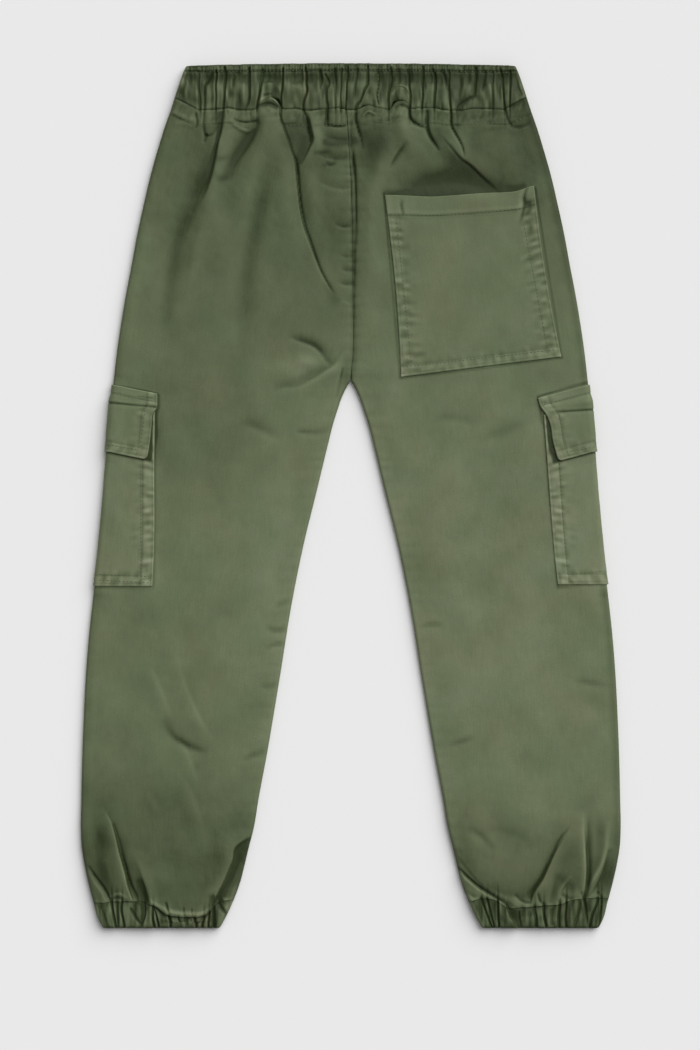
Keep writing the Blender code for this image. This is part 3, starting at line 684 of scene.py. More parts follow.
@dataclass
class ClothPiece:
    """A closed shell of cloth: a close grid of points for its face and a sparser one for its back."""

    name: str
    node: str
    slot: str
    finish: bpy.types.Material
    step: int = 8
    apart: float = 0.05
    crease_angle: float = 60.0

    def build(self, face: Grid, back: Grid, cloth_map: Grid, wear_and_shade: Grid) -> bpy.types.Object:
        """Make the shell and put it in the scene.

        Args:
            face: Points of the outer face, rows by columns by 3, in mm.
            back: Points of the inner face, with every step-th row and column.
            cloth_map: Place of each face point on the flat cloth, in mm.
            wear_and_shade: How pale each face point is, from -1 to 1: worn dye, with painted light and painted shade.

        Returns:
            The new object.
        """
        rows, columns = face.shape[0] - 1, face.shape[1] - 1
        body = bmesh.new()
        for step, level in ((1, self.apart), (self.step, -self.apart)):
            bmesh.ops.create_grid(
                body, x_segments=columns // step, y_segments=rows // step, size=0.5,
                matrix=Matrix.Translation((0, 0, level)))
        lower = [polygon for polygon in body.faces if polygon.calc_center_median().z < 0]
        bmesh.ops.reverse_faces(body, faces=lower)
        bmesh.ops.bridge_loops(body, edges=[edge for edge in body.edges if edge.is_boundary])
        sparse = (slice(None, None, self.step),) * 2
        points = np.vstack((face.reshape(-1, 3), back.reshape(-1, 3)))
        flat = np.vstack((cloth_map.reshape(-1, 2), cloth_map[sparse].reshape(-1, 2)))
        wear_and_shade_data = np.concatenate((wear_and_shade.ravel(), wear_and_shade[sparse].ravel()))
        return self.dress(to_mesh(body, self.name), points, flat, wear_and_shade_data)

    def build_ring(self, face: Grid, cloth_map: Grid, wear_and_shade: Grid) -> bpy.types.Object:
        """Make a shell that closes both ways, as a casing does.

        Args:
            face: Points, once round the wall's section by once round the casing by 3, in mm.
            cloth_map: Place of each point on the flat cloth, in mm.
            wear_and_shade: How pale each point is: worn dye, painted light and painted shade.

        Returns:
            The new object.
        """
        around, steps = face.shape[:2]
        body = bmesh.new()
        bmesh.ops.create_circle(
            body, segments=around, radius=0.1,
            matrix=Matrix.Translation((1, 0, 0)) @ Matrix.Rotation(QUARTER, 4, "X"))
        bmesh.ops.spin(
            body, geom=body.verts[:] + body.edges[:], cent=(0, 0, 0), axis=(0, 0, 1), angle=2 * math.pi,
            steps=steps, use_merge=True)
        mesh = to_mesh(body, self.name)
        round_it = np.empty(len(mesh.vertices) * 3)
        mesh.vertices.foreach_get("co", round_it)
        x, y, z = round_it.reshape(-1, 3).T
        column = np.rint(np.arctan2(y, x) / (2 * math.pi) * steps).astype(int) % steps
        row = np.rint(np.arctan2(z, np.hypot(x, y) - 1) / (2 * math.pi) * around).astype(int) % around
        return self.dress(mesh, face[row, column], cloth_map[row, column], wear_and_shade[row, column])

    def dress(self, mesh: bpy.types.Mesh, points: Grid, flat: Grid, wear_and_shade: Grid) -> bpy.types.Object:
        """Lay a mesh's points in place and give it its cloth map, its worn dye with painted light and shade, and its
        finish.

        Args:
            mesh: The mesh, with its faces made.
            points: A place for each vertex, in mm.
            flat: A place on the flat cloth for each vertex, in mm.
            wear_and_shade: The worn dye and painted light and shade of each vertex.

        Returns:
            The object that holds the mesh.
        """
        mesh.vertices.foreach_set("co", (points * MM).ravel())
        corners = np.empty(len(mesh.loops), dtype=np.int32)
        mesh.loops.foreach_get("vertex_index", corners)
        for old in list(mesh.uv_layers):
            mesh.uv_layers.remove(old)
        mesh.uv_layers.new(name="cloth").data.foreach_set("uv", (flat[corners] * MM).ravel())
        wear_and_shade_data = mesh.attributes.new("wear_and_shade", "FLOAT", "POINT")
        wear_and_shade_data.data.foreach_set("value", np.clip(wear_and_shade, -1, 1).astype(np.float32))
        body = bmesh.new()
        body.from_mesh(mesh)
        if body.calc_volume(signed=True) < 0:
            bmesh.ops.reverse_faces(body, faces=body.faces[:])
        body.to_mesh(mesh)
        body.free()
        mesh.shade_smooth()
        mesh.set_sharp_from_angle(angle=math.radians(self.crease_angle))
        mesh.materials.append(self.finish)
        piece = put(self.name, mesh)
        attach(piece, "root")
        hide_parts(self.node)
        LOG.info("%s: %d triangles", self.name, sum(len(p.vertices) - 2 for p in mesh.polygons))
        return piece


@dataclass
class Stitching:
    """Rows of lockstitches, each stitch a small grain of thread that sinks into the cloth."""

    name: str
    slot: str
    finish: bpy.types.Material
    length: float = 2.3
    width: float = 0.62
    thickness: float = 0.62 / 1.3
    sink: float = 0.06
    above: float = 60.0
    steepest: float = 0.35

    def sew(self, pieces: dict[str, bpy.types.Object], rows: dict[str, tuple]) -> bpy.types.Object:
        """Sew all rows.

        Args:
            pieces: The cloth pieces by name.
            rows: For each piece its rows of stitches, as a pitch and then (x, drop) points.

        Returns:
            One object that holds every stitch.
        """
        body = bmesh.new()
        for name, routes in rows.items():
            cloth = bmesh.new()
            cloth.from_mesh(pieces[name].data)
            tree = BVHTree.FromBMesh(cloth)
            cloth.free()
            for pitch, *route in routes:
                self.sew_row(body, tree, pitch, np.array(route, dtype=float))
        mesh = to_mesh(body, self.name)
        mesh.shade_smooth()
        mesh.materials.append(self.finish)
        thread = put(self.name, mesh)
        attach(thread, "root")
        LOG.info("%s: %d triangles", self.name, len(mesh.polygons))
        return thread

    def sew_row(self, body: bmesh.types.BMesh, cloth: BVHTree, pitch: float, knots: Grid) -> None:
        """Set the stitches of one row on the cloth below them.

        Args:
            body: The shape that takes the stitches.
            cloth: The cloth's surface.
            pitch: Distance from stitch to stitch.
            knots: The row's (x, drop) points.
        """
        reach = np.concatenate(((0,), np.cumsum(np.hypot(*np.diff(knots, axis=0).T))))
        count = max(1, int(reach[-1] / pitch))
        at = (np.arange(count) + 0.5) * reach[-1] / count
        half = self.length / 2
        start, middle, end = (
            np.stack([np.interp(at + way, reach, part) for part in knots.T], axis=-1) for way in (-half, 0, half))
        size = Matrix.Diagonal((half * MM, self.width / 2 * MM, self.thickness / 2 * MM, 1))
        for (x, drop), (run_x, run_drop) in zip(middle, end - start):
            hit, normal, _, _ = cloth.ray_cast(
                Vector((x, FORM.length / 2 - drop, self.above)) * MM, Vector((0, 0, -1)))
            if hit is None or abs(normal.z) < self.steepest:
                continue
            normal = normal if normal.z > 0 else -normal
            along = Vector((run_x, -run_drop, 0))
            along = (along - normal * along.dot(normal)).normalized()
            turn = Matrix((along, normal.cross(along), normal)).transposed().to_4x4()
            sunk = Matrix.Translation(hit + normal * self.sink * MM)
            bmesh.ops.create_icosphere(body, subdivisions=1, radius=1.0, matrix=sunk @ turn @ size)


BAND_GATHERS = Gathers(height=3.6, seed=11, creases=creases(
    Edge.SOFT,
    (1, 1.5, (-134, 10, 0), (-133, 20, -0.4), (-136, 31, -0.2)),
    (1.6, 0.6, (-122, 6, -0.5), (-121.2, 22, -0.7), (-120.4, 32, -0.8), (-120.4, 44, -0.6)),
    (0.5, 1.3, (-112.4, 8, -0.6), (-114.4, 14, -0.8), (-116.8, 19, -0.8), (-117.2, 32, -0.6), (-117.6, 44, -0.6)),
    (0.7, 0.7, (-108, 5, -0.6), (-108, 22, -0.7), (-108, 44, -0.5)),
    (1, 0.6, (-100.8, 3, -1.1), (-100.6, 14, -1.1), (-101.6, 37, -0.9), (-102.2, 44, -0.9)),
    (0.6, 1.5, (-92, 7, -0.8), (-95, 13, -0.5), (-95, 22, 0)),
    (1.3, 0.5, (-80.8, 4, -1), (-81.2, 28, -0.9), (-84, 37, -0.2)),
    (0.6, 1.6, (-71.2, 5, -0.7), (-72.4, 18, -1), (-73.6, 25, -1.1), (-74.8, 33, -1), (-75.2, 44, -0.9)),
    (5, 5, (-64, 8, -0.5), (-65, 13, -0.6), (-64, 19, 0)),
    (0.7, 0.6, (-54.4, 4, -0.8), (-54.8, 22, -1.1), (-56, 36, -1.2), (-56.2, 44, -1.1)),
    (4, 4, (-45, 8, -0.5), (-43, 13, -0.6), (-45, 19, 0)),
    (0.8, 0.7, (-36, 4, -0.9), (-35.2, 16, -1), (-34.8, 22, -1.4), (-37.2, 30, -1.1), (-37.6, 36, -1.1),
     (-36, 44, -1.1)),
    (0.8, 1.2, (-25, 6, -0.7), (-24, 13, -0.8), (-24.5, 21, -0.2)),
    (1, 0.6, (-20, 9, -0.5), (-17.6, 16, -0.7), (-19.6, 22, -1), (-19.2, 30, -1.1), (-18.4, 35, -1),
     (-19.4, 44, -0.8)),
    (0.7, 1.1, (-12.8, 5, -0.6), (-12.6, 16, -0.4), (-12.8, 40, -0.4)),
    (0.6, 0.7, (-7.6, 5, -0.6), (-8, 20, -0.5), (-8, 40, -0.6)),
    (0.5, 0.6, (-2.8, 4, -0.7), (-3, 22, -0.6), (-4, 42, -0.6)),
    (0.9, 0.9, (5, 5, -0.5), (4, 16, -0.3), (3, 30, 0)),
    (1.3, 0.6, (14.2, 3, -0.9), (13.8, 14, -1), (11.6, 24, -1.1), (8.9, 31, -1), (4.9, 36, -0.8), (4.6, 44, -0.8)),
    (0.5, 0.5, (21.8, 5, -0.6), (22.2, 18, -0.6), (21.4, 25, -0.3), (21.8, 34, -0.4)),
    (0.9, 0.6, (32.6, 4, -1), (32.4, 14, -1.1), (30.7, 25, -1.1), (29.8, 37, -0.8), (30.4, 44, -0.6)),
    (1.5, 1.5, (33, 26, 0.1), (38, 21, 0.3), (44, 22, 0.3), (47, 27, 0.1)),
    (1.5, 1.5, (38, 6, -0.5), (38, 13, -0.5), (39, 19, 0)),
    (0.6, 1, (45.3, 6, -0.6), (46.7, 16, -0.8), (47.1, 25, -0.9), (47.4, 36, -1.1), (47.4, 44, -1.1)),
    (0.7, 0.6, (57.8, 3, -0.8), (57.8, 22, -0.8), (57.4, 40, -0.8)),
    (1.1, 0.6, (66.2, 5, -0.7), (68, 13, -1), (68, 25, -1), (67.1, 38, -0.7)),
    (1.2, 1.1, (73, 6, -0.3), (76, 14, -0.6), (78, 21, -0.2)),
    (0.7, 0.7, (78.7, 6, -0.7), (79.1, 18, -0.9), (79.1, 27, -0.8), (80, 34, -0.9), (81, 44, -1)),
    (1.5, 1.5, (88, 7, -0.5), (88, 18, -0.5), (87, 25, -0.2)),
    (0.6, 0.9, (99.6, 3, -1.1), (100, 14, -1.1), (98.7, 25, -1), (97, 29, -0.6)),
    (0.5, 4.5, (98, 27, -0.4), (89.3, 31, -0.8), (85.8, 35, -0.9), (84, 44, -0.7)),
    (1.2, 1.2, (107, 6, -0.6), (106, 17, -0.6), (105, 25, 0)),
    (0.7, 1.1, (113.3, 7, -0.4), (113.3, 19, -0.5), (113.3, 37, -0.5)),
    (0.8, 0.6, (119.6, 4, -0.8), (121.8, 16, -1), (122.7, 29, -0.9), (124.4, 44, -0.9)),
    (0.6, 0.7, (127.1, 6, -0.8), (128, 20, -1), (127.6, 44, -0.8)),
    (1.5, 1, (133, 12, 0), (134, 22, -0.4), (137, 32, -0.3)),
))

LEFT_CUFF_GATHERS = Gathers(height=3.4, seed=23, creases=creases(
    Edge.SOFT,
    (1.4, 1.4, (-200, 674, 0), (-198, 684, -0.6), (-195, 693, -0.4)),
    (0.7, 0.8, (-193.2, 664, -1.5), (-190.7, 681, -1.8), (-187.8, 694, -1.8)),
    (0.9, 0.9, (-188, 671, -0.6), (-187, 682, -0.8), (-186, 694, -1)),
    (1, 0.6, (-183, 670, -1), (-183.5, 680, -1.3), (-180, 694, -1.5)),
    (1.2, 1.2, (-176, 678, -0.3), (-172, 686, -0.6), (-168, 691, -0.2)),
    (1.9, 0.7, (-165, 669, -1.4), (-164.6, 679, -1.5), (-167, 688, -0.7), (-170, 694, -0.2)),
    (0.7, 0.9, (-158, 671, -1.4), (-158.4, 680, -1.8), (-158, 694, -2.1)),
    (0.6, 0.7, (-157, 675, -0.4), (-154.6, 683, -1.4), (-154.4, 694, -2)),
    (0.7, 1, (-146, 669, -1.2), (-145, 676, -1.8), (-144.6, 684, -2), (-145, 694, -2)),
    (0.7, 0.7, (-138, 672, -0.7), (-137, 681, -0.3)),
    (1.4, 1.4, (-132, 672, -0.6), (-132, 682, -0.6), (-132, 690, -0.3)),
    (0.7, 1.2, (-125.5, 671, -1.3), (-124.6, 684, -1.5), (-123.8, 694, -1.8)),
    (0.9, 0.7, (-117.4, 669, -1.3), (-118, 682, -1.8), (-118.8, 694, -2)),
    (0.6, 0.6, (-113.2, 669, -1.2), (-113.8, 682, -1.4), (-113.9, 694, -1.5)),
    (0.7, 0.9, (-110, 667, -1.7), (-109.6, 680, -2.2), (-109.6, 694, -2)),
    (1.2, 1.2, (-107, 670, -1.8), (-104, 676, -1.1), (-100, 682, -0.6)),
))

RIGHT_CUFF_GATHERS = Gathers(height=3.4, seed=37, creases=creases(
    Edge.SOFT,
    (0.6, 0.8, (102.8, 668, -0.9), (108.7, 683, -1.4), (113.6, 694, -1.5)),
    (0.6, 0.8, (108, 668, -1.2), (111.8, 681, -1.4), (115.4, 694, -1.5)),
    (0.8, 0.6, (118.2, 668, -1.5), (118.6, 682, -1.7), (119, 694, -1.9)),
    (0.6, 4.2, (124, 668, -1.1), (126.9, 678, -1.5), (132, 688, -1.4), (134.4, 694, -1.5)),
    (0.7, 0.7, (134.6, 676, -0.6), (135.4, 684, -0.9), (136, 694, -1.1)),
    (1.3, 0.7, (147.4, 669, -1.4), (148.4, 682, -1.7), (149, 694, -2)),
    (0.6, 1, (154.4, 669, -1.5), (154.8, 683, -2), (156.6, 694, -2.1)),
    (1.2, 1.2, (161, 676, -0.3), (161, 690, -0.4)),
    (1.3, 0.7, (167.3, 669, -1.2), (167, 694, -1.5)),
    (0.7, 0.7, (172.6, 667, -1.4), (172.4, 694, -1.5)),
    (1.2, 1.2, (184, 675, -0.3), (182, 684, -0.7), (179, 692, -0.4)),
    (0.7, 0.8, (185.8, 666, -1.9), (188, 678, -1.7), (189.6, 685, -1), (190, 691, -0.3)),
    (1, 0.7, (198.4, 670, -0.6), (196.4, 678, -1.4), (193.4, 687, -1.8), (191.6, 694, -2)),
    (0.6, 0.8, (200.4, 670, -1.2), (200.6, 684, -1), (199, 692, -0.6)),
))

SEAT_CREASES = creases(
    Edge.SOFT,
    # Left: the fan of folds below the waistband
    (1.6, 11, (-100, 36, 0.6), (-101, 50, 0.8), (-105, 64, 1), (-107, 77, 1.1), (-110, 90, 1.1), (-114, 103, 0.9),
     (-121, 118, 0)),
    (8, 14, (-104, 70, 0), (-108, 88, 0.5), (-113, 104, 0.6), (-119, 120, 0.6), (-127, 140, 0.5), (-134, 168, 0.3),
     (-141, 210, 0)),
    (2, 0.9, (-103, 37, -1.2), (-104, 50, -1.5), (-107, 64, -1.2), (-110, 77, -0.8), (-113, 90, -0.4),
     (-118, 100, 0)),
    (7, 3, (-110, 76, 0), (-115, 90, -0.5), (-121, 104, -0.6), (-128, 122, -0.4), (-136, 146, 0)),
    (9, 14, (-66, 34, 1), (-67, 56, 1.8), (-72, 74, 1.7), (-80, 92, 1.1), (-88, 110, 0.4)),
    (5.4, 3, (-75, 49, -0.9), (-80, 60, -1.1), (-86, 70, -1.1), (-92, 79, -0.8), (-96, 90, -0.4), (-98, 97, 0)),
    (1.2, 1.4, (-116, 58, -0.9), (-117, 62, -0.5), (-119, 64, 0)),
    (0.9, 1.2, (-124, 41, -0.8), (-123, 48, -0.9), (-125, 53, 0)),
    (1.8, 2.4, (-142, 40, 0.3), (-133, 44, 0.5), (-125, 46, 0.3)),
    (1.4, 1.8, (-96, 47, 0.2), (-90, 52, 0.5), (-82, 55, 0.5), (-76, 50, 0.2)),
    (0.8, 1.1, (-99, 38, -0.6), (-98.4, 45, 0)),
    (0.8, 1, (-80.6, 38, -0.7), (-80, 46, -0.2)),
    # The rim of the arch over the waistband, with the hollow below it
    (0.9, 0.9, (-74, 34, 0.8), (-71, 29, 1.3), (-65, 28, 1.4), (-59, 31, 1.3), (-57, 35, 0.8)),
    (2.6, 1.2, (-71, 34, -0.8), (-65, 33, -1.5), (-60, 35, -0.9)),
    (0.9, 1.2, (35, 33, 0.6), (40, 31, 1.2), (45, 33, 0.7)),
    (2, 1, (36, 36, -0.6), (40, 34, -1.2), (45, 36, -0.6)),
    (0.9, 0.9, (10, 42, 0.4), (14, 39, 1), (19, 41, 0.5)),
    # The long pleat that curves down to the crotch, and the fold that runs into it
    (1.6, 5, (-44, 78, -0.2), (-40, 96, -0.6), (-38, 116, -0.5), (-33, 138, -0.3), (-22, 168, 0)),
    (9, 7, (-60, 40, 0.4), (-58, 56, 0.5), (-54, 78, 0.6), (-52, 100, 0.6), (-48, 124, 0.4), (-40, 150, 0)),
    (1.2, 8, (-34, 36, 0.8), (-32, 46, 1), (-30, 55, 1.3), (-29, 62, 1.2), (-32, 69, 0.9), (-36, 77, 0.5),
     (-39, 83, 0)),
    (2.4, 4.6, (-22, 57, -0.2), (-13, 61, -0.7), (-5, 62, -0.6)),
    (1.8, 4, (-27, 72, -0.1), (-17, 76, -0.5), (-4, 75, -0.6)),
    (1.4, 2.4, (-21, 78, -0.1), (-17, 82, -0.4), (-13, 80, -0.1)),
    (1.8, 4.6, (-29, 93, 0), (-18, 98, -0.3), (-8, 100, -0.5), (-3, 100, -0.5)),
    (1.3, 3.2, (-14, 128, 0), (-7, 131, -0.5), (-2, 131, -0.5)),
    (1.6, 3, (-10, 153, 0), (-4, 155, -0.4), (0, 155, -0.4)),
    (1.6, 3, (-9, 164, 0), (-4, 166, -0.4), (0, 166, -0.4)),
    (1.6, 3, (-11, 175, 0), (-5, 177, -0.5), (0, 177, -0.5)),
    (1.6, 3, (-8, 189, 0), (-1, 191, -0.3)),
    # Long soft waves down the left of the seat
    (7, 8, (-130, 120, 0), (-136, 134, -0.5), (-140, 150, -0.6), (-144, 172, -0.6), (-148, 198, -0.5),
     (-150, 236, 0)),
    (8, 8, (-70, 90, -0.3), (-73, 110, -0.8), (-78, 134, -0.9), (-82, 156, -0.9), (-85, 184, -0.7), (-86, 220, -0.4),
     (-88, 262, 0)),
    # Crotch
    (2.2, 4, (-50, 219, 0), (-41, 222, -0.5), (-32, 225, -0.7), (-27, 228, -0.7), (-22, 233, -0.5), (-18, 239, -0.4),
     (-14, 241, -0.1)),
    (4.4, 2.4, (-13, 240, -0.2), (-21, 245, -0.6), (-30, 250, -0.7), (-37, 254, -0.7), (-45, 258, -0.6),
     (-54, 259, -0.5), (-64, 262, 0)),
    (2, 5, (-5, 233, 0.2), (-13, 243, 0.6), (-20, 248, 0.6), (-30, 255, 0.5), (-41, 261, 0.2)),
    (5, 7, (-47, 238, 0), (-36, 239, 0.7), (-26, 241, 0.2)),
    (1, 0.8, (-6.4, 245, -0.3), (-8.7, 255, -0.8), (-10.8, 266, -0.4)),
    (1.4, 2.4, (-45, 295, 0), (-37, 296, -0.5), (-24, 296, -0.7), (-15, 295, -0.7)),
    (4, 6, (-91, 287, 0), (-75, 291, -0.5), (-55, 302, 0)),
    # Right: between the centre seam and the pocket
    (5, 5, (10, 58, -0.4), (13, 70, -0.6), (11, 81, -0.3)),
    (7, 10, (30, 42, 0.8), (24, 84, 0.9), (18, 105, 1), (16, 140, 0.7), (14, 220, 0)),
    (6, 7, (40, 34, 1.2), (42, 50, 1.5), (46, 64, 0.9), (50, 76, 0)),
    (1, 2.8, (46, 62, 0), (40, 70, -0.5), (35, 78, -0.5), (31, 86, 0)),
    (0.9, 11, (74, 58, 0.1), (79, 64, 0.5), (85, 72, 0.8), (90, 77.4, 1), (95, 80.4, 1.1), (101, 86, 1.2),
     (107, 92, 1.1), (112, 96.4, 0.8), (117, 100, 0.3)),
    (7, 13, (48, 99, -0.6), (66, 96, -1.4), (86, 95, -1.8), (104, 98, -1.5), (122, 101, -0.5)),
    (1, 1, (124, 37, -1.1), (126, 46, -0.7), (131, 54, -0.1)),
    (1.2, 2.2, (129, 50, -0.4), (134, 52, -0.6), (142, 49, -0.2)),
) + creases(
    Edge.CRISP,
    # Left: the fan of folds below the waistband
    (0.9, 1.1, (-118, 40, -0.7), (-118, 51, -0.8), (-116, 58, -0.8), (-111, 57, -0.5), (-106, 51, -0.2)),
    (0.7, 0.8, (-93, 45.4, -0.6), (-86, 47.6, -0.9), (-76, 47, -0.8)),
    # The long pleat that curves down to the crotch, and the fold that runs into it
    (0.5, 0.8, (-56.6, 36, -1.1), (-56.4, 43, -1.1), (-54.2, 50, -0.9), (-50.4, 60, -0.9), (-46.8, 71, -0.7),
     (-43.8, 79, -1.2), (-42.8, 86, -2.3), (-42, 96, -2.3), (-40.8, 108, -1.8), (-39.2, 120, -1.6), (-36, 133, -1.4),
     (-30, 150, -1.2), (-23.6, 167, -0.9), (-16.5, 180, -0.5), (-12, 186, 0)),
    (0.9, 0.6, (-37.6, 36, -1.2), (-36, 42, -1.3), (-34.6, 47, -1.6), (-33.6, 54, -1.8), (-32.2, 60, -1.3),
     (-33.6, 67, -0.4), (-36.6, 75, -0.3), (-40, 81, -0.4)),
    (1, 0.9, (-19, 36, -1.4), (-19, 43, -1.4), (-19, 50, -0.5)),
    (0.8, 1, (-20, 49.7, -0.9), (-11, 50.8, -1.1), (-5, 50.6, -0.8)),
    # Right: between the centre seam and the pocket
    (0.8, 1.1, (4.4, 36, -1.6), (4, 45, -1.6), (6, 54, -1.3), (8, 61, -0.8), (9, 68, -0.2)),
    (0.7, 1, (1.6, 70, -0.2), (2, 78, -1.3), (2.8, 85, -1.4), (3.6, 95, -0.9), (4.2, 122, -0.6), (4.6, 137, -0.4),
     (5, 150, 0)),
    (0.8, 1, (46.6, 37, -2.1), (47.7, 44, -2.2), (51.7, 48.5, -1.6), (60, 52, -0.7)),
    (1, 0.8, (61.4, 39, -2.1), (61.2, 50, -2.3), (63.4, 58, -2), (68.3, 66, -1.2), (71, 71, 0)),
    (0.7, 0.6, (80.6, 40, -1.3), (80.8, 50, -1.3), (83.6, 56, -1.2), (87, 62, -1), (89.6, 68, -0.7), (91, 75, -0.2)),
    (0.8, 0.5, (80, 66, -0.3), (87, 75, -0.5), (93, 80, -0.7), (98, 84, -1), (104, 90, -1), (109, 94.4, -0.7),
     (114, 98, -0.2)),
)

LEG_CREASES = creases(
    Edge.SOFT,
    # Below the back pocket and round the cargo pockets
    (4, 5, (62, 287, 0), (80, 284, -0.4), (108, 290, 0)),
    (6, 6, (94, 304, 0), (120, 296, -0.6), (146, 284, 0)),
    # Left knee and shin
    (6, 3, (-164, 482, 0), (-156, 498, 0.5), (-149, 516, 0.5), (-144, 530, 0)),
    (7, 2.6, (-142, 467, 0), (-137, 490, 0.45), (-130, 510, 0.5), (-120, 530, 0.5), (-109, 548, 0)),
    (7, 2.6, (-141, 543, 0), (-134, 550, 0.5), (-128, 566, 0.5), (-122, 586, 0)),
    (4, 4, (-150, 524, 0), (-143, 538, -0.5), (-130, 547, -0.6), (-114, 552, 0)),
    (2.2, 2.2, (-40, 430, -0.4), (-52, 432, -0.7), (-62, 437, 0)),
    (2.4, 2.4, (-47, 452, -0.5), (-58, 455, -0.7), (-70, 452, 0)),
    (2.2, 2.2, (-50, 466, -0.5), (-60, 466, -0.6), (-70, 470, 0)),
    (2.4, 2.4, (-55, 496, -0.4), (-64, 500, -0.6), (-74, 499, 0)),
    (2.6, 2.6, (-66, 552, -0.5), (-76, 554, -0.7), (-88, 560, 0)),
    # Right leg
    (2.6, 2.6, (77, 547, 0), (88, 544, -0.5), (101, 540, 0)),
    (3, 3, (176, 494, 0), (192, 497, -0.5), (209, 500, 0)),
    (2.4, 2.4, (54, 452, 0), (64, 450, -0.5), (75, 451, 0)),
)

ANKLE_CREASES = creases(
    Edge.SOFT,
    # Left: the deep fold down to the cuff, its hollow, and the smaller fold outside it
    (6.5, 0.9, (-197, 601, 0.2), (-191, 612, 1.1), (-187, 624, 1.7), (-184, 637, 2), (-181, 649, 2.1),
     (-179, 660, 2.1), (-175, 670, 2), (-170, 677, 1.5)),
    (2.6, 3.6, (-170, 657, -0.8), (-168, 665, -1.9), (-166, 673, -2.2), (-166, 682, -1)),
    (1.3, 7, (-171, 638, 0), (-165, 656, 0.8), (-161, 670, 1.1), (-158, 679, 0.4)),
    (4, 1.1, (-211, 648, 0.4), (-206, 656, 0.9), (-201, 663, 1.1), (-197, 671, 0.9)),
    (0.9, 1.4, (-194, 669, 0.3), (-186, 666, 0.9), (-180, 669, 0.4)),
    (1.2, 1, (-191, 670, -0.6), (-186, 669, -1), (-181, 672, -0.6)),
    (4, 6, (-205, 609, 0), (-200, 626, -0.6), (-198, 640, 0)),
    (7, 4, (-136, 572, 0), (-129, 588, 0.5), (-124, 604, 0.5), (-119, 622, 0.3), (-117, 636, 0)),
    (4, 3, (-165, 581, 0), (-159, 592, 0.3), (-153, 604, 0)),
    (11, 1.1, (-79, 618, 0.4), (-93, 628, 1.5), (-95, 641, 1.9), (-101, 658, 2.1), (-109, 670, 2), (-113, 676, 1.5),
     (-118, 684, 0.6)),
    (1.1, 1.2, (-106, 667, 0.6), (-100, 671, 1.3), (-95, 672, 1)),
    (1.6, 1.1, (-104, 672, -0.8), (-99, 675, -1), (-95, 675, -0.5)),
    (4, 2, (-161, 672, 0.6), (-150, 678, 1.3), (-141, 681, 1.5), (-130, 682, 1.6), (-120, 682, 1.5),
     (-112, 678, 0.8)),
    (0.8, 0.9, (-148, 673, -0.7), (-146.4, 679, -1.3)),
    (0.7, 0.9, (-134, 677, -0.3), (-133.4, 683, -0.9)),
    (0.8, 0.8, (-127.4, 678, -0.4), (-127, 684, -1)),
    # Right: the fold that runs in from the inseam, the long crease and the ridges outside it
    (1.2, 9, (83, 629, 0.1), (93, 643, 0.4), (103, 655, 0.7), (112, 662, 0.8), (122, 668, 0.8), (130, 673, 0.8),
     (137, 677, 0.7), (146, 678, 0.3)),
    (4, 1.3, (87, 649, 0.9), (102, 662, 1.3), (114, 671, 1)),
    (1.4, 1.8, (90, 662, -0.5), (98, 668, -0.9), (107, 671, -0.4)),
    (0.8, 8, (175.6, 614, 0.2), (164.8, 632, 0.8), (159, 644, 1), (154.6, 654, 1.1), (148.6, 663.4, 1),
     (146.4, 669, 0.6)),
    (5, 1.1, (186, 598, 0), (187, 625, 1.4), (188, 645, 1.6), (187, 660, 1.8), (186, 668, 1.4)),
    (1, 2.6, (190, 602, 0), (190, 628, -0.9), (190, 646, -1.2), (189, 660, -1.7), (187, 669, -2.2)),
    (2.6, 2.6, (206, 610, 0.2), (204, 630, 1.1), (200, 644, 1.5), (193, 656, 1.4), (189, 665, 0.8)),
    (1.4, 3.4, (207, 632, -0.4), (203, 648, -1), (197, 660, -1), (192, 667, -0.6)),
    (2, 1.2, (175, 653, 0.3), (168, 662, 1), (167, 669, 0.9)),
    (1.1, 1.8, (170, 667, -0.8), (175, 670, -1.3), (181, 669, -0.8)),
    (1, 1.2, (198, 665, -0.9), (203, 671, -1.2)),
    (1.1, 1.4, (185, 665, -1.2), (186, 671, -2.2), (188, 675, -1.2)),
    (2.2, 2.6, (166, 648, 0), (163, 660, -0.6), (160, 672, -0.8)),
    (3, 4, (112, 628, -0.3), (102, 618, -0.6), (92, 612, 0)),
) + creases(
    Edge.CRISP,
    # Left: the deep fold down to the cuff, its hollow, and the smaller fold outside it
    (0.6, 1.8, (-190.4, 611, -0.5), (-187.6, 620, -1.1), (-184.4, 633, -1.7), (-180.2, 647, -1.9), (-176.6, 659, -2),
     (-172, 668, -2), (-170, 673, -1.8)),
    (0.5, 0.8, (-210, 644, -0.4), (-205.4, 651, -1.3), (-200.6, 657.6, -1.8), (-196.4, 663.6, -1.9),
     (-193.4, 670, -1.9), (-191.2, 680, -1.4)),
    (0.7, 2.6, (-77.6, 619, -0.4), (-90.6, 629.6, -1.5), (-93.6, 642, -2.2), (-99, 658, -2.4), (-106.8, 670, -2.6),
     (-107.5, 677, -2.2)),
    # Right: the fold that runs in from the inseam, the long crease and the ridges outside it
    (0.6, 0.6, (85.6, 644, -0.6), (94, 652.6, -1.5), (103, 660, -1.8), (110, 664.6, -1.9), (118, 669.6, -1.9),
     (124, 673.4, -1.7), (128, 679, -1)),
    (0.9, 0.5, (174, 614, -0.1), (168, 621, -0.6), (162.6, 632, -0.9), (157, 644, -1.2), (152.6, 653, -1.4),
     (147.4, 661, -1.7), (145, 666, -1.7), (144.4, 671, -1)),
    (0.9, 1.2, (150, 666, -1), (152, 672, -1.8), (156, 675, -1.2)),
    (0.9, 1.4, (132, 667, -0.8), (138, 672, -1.5), (144, 673, -1)),
)

# The back's creases, with how deep each group lies for its heights
FOLDS = ((1.75, SEAT_CREASES), (1.2, LEG_CREASES), (1.45, ANKLE_CREASES))
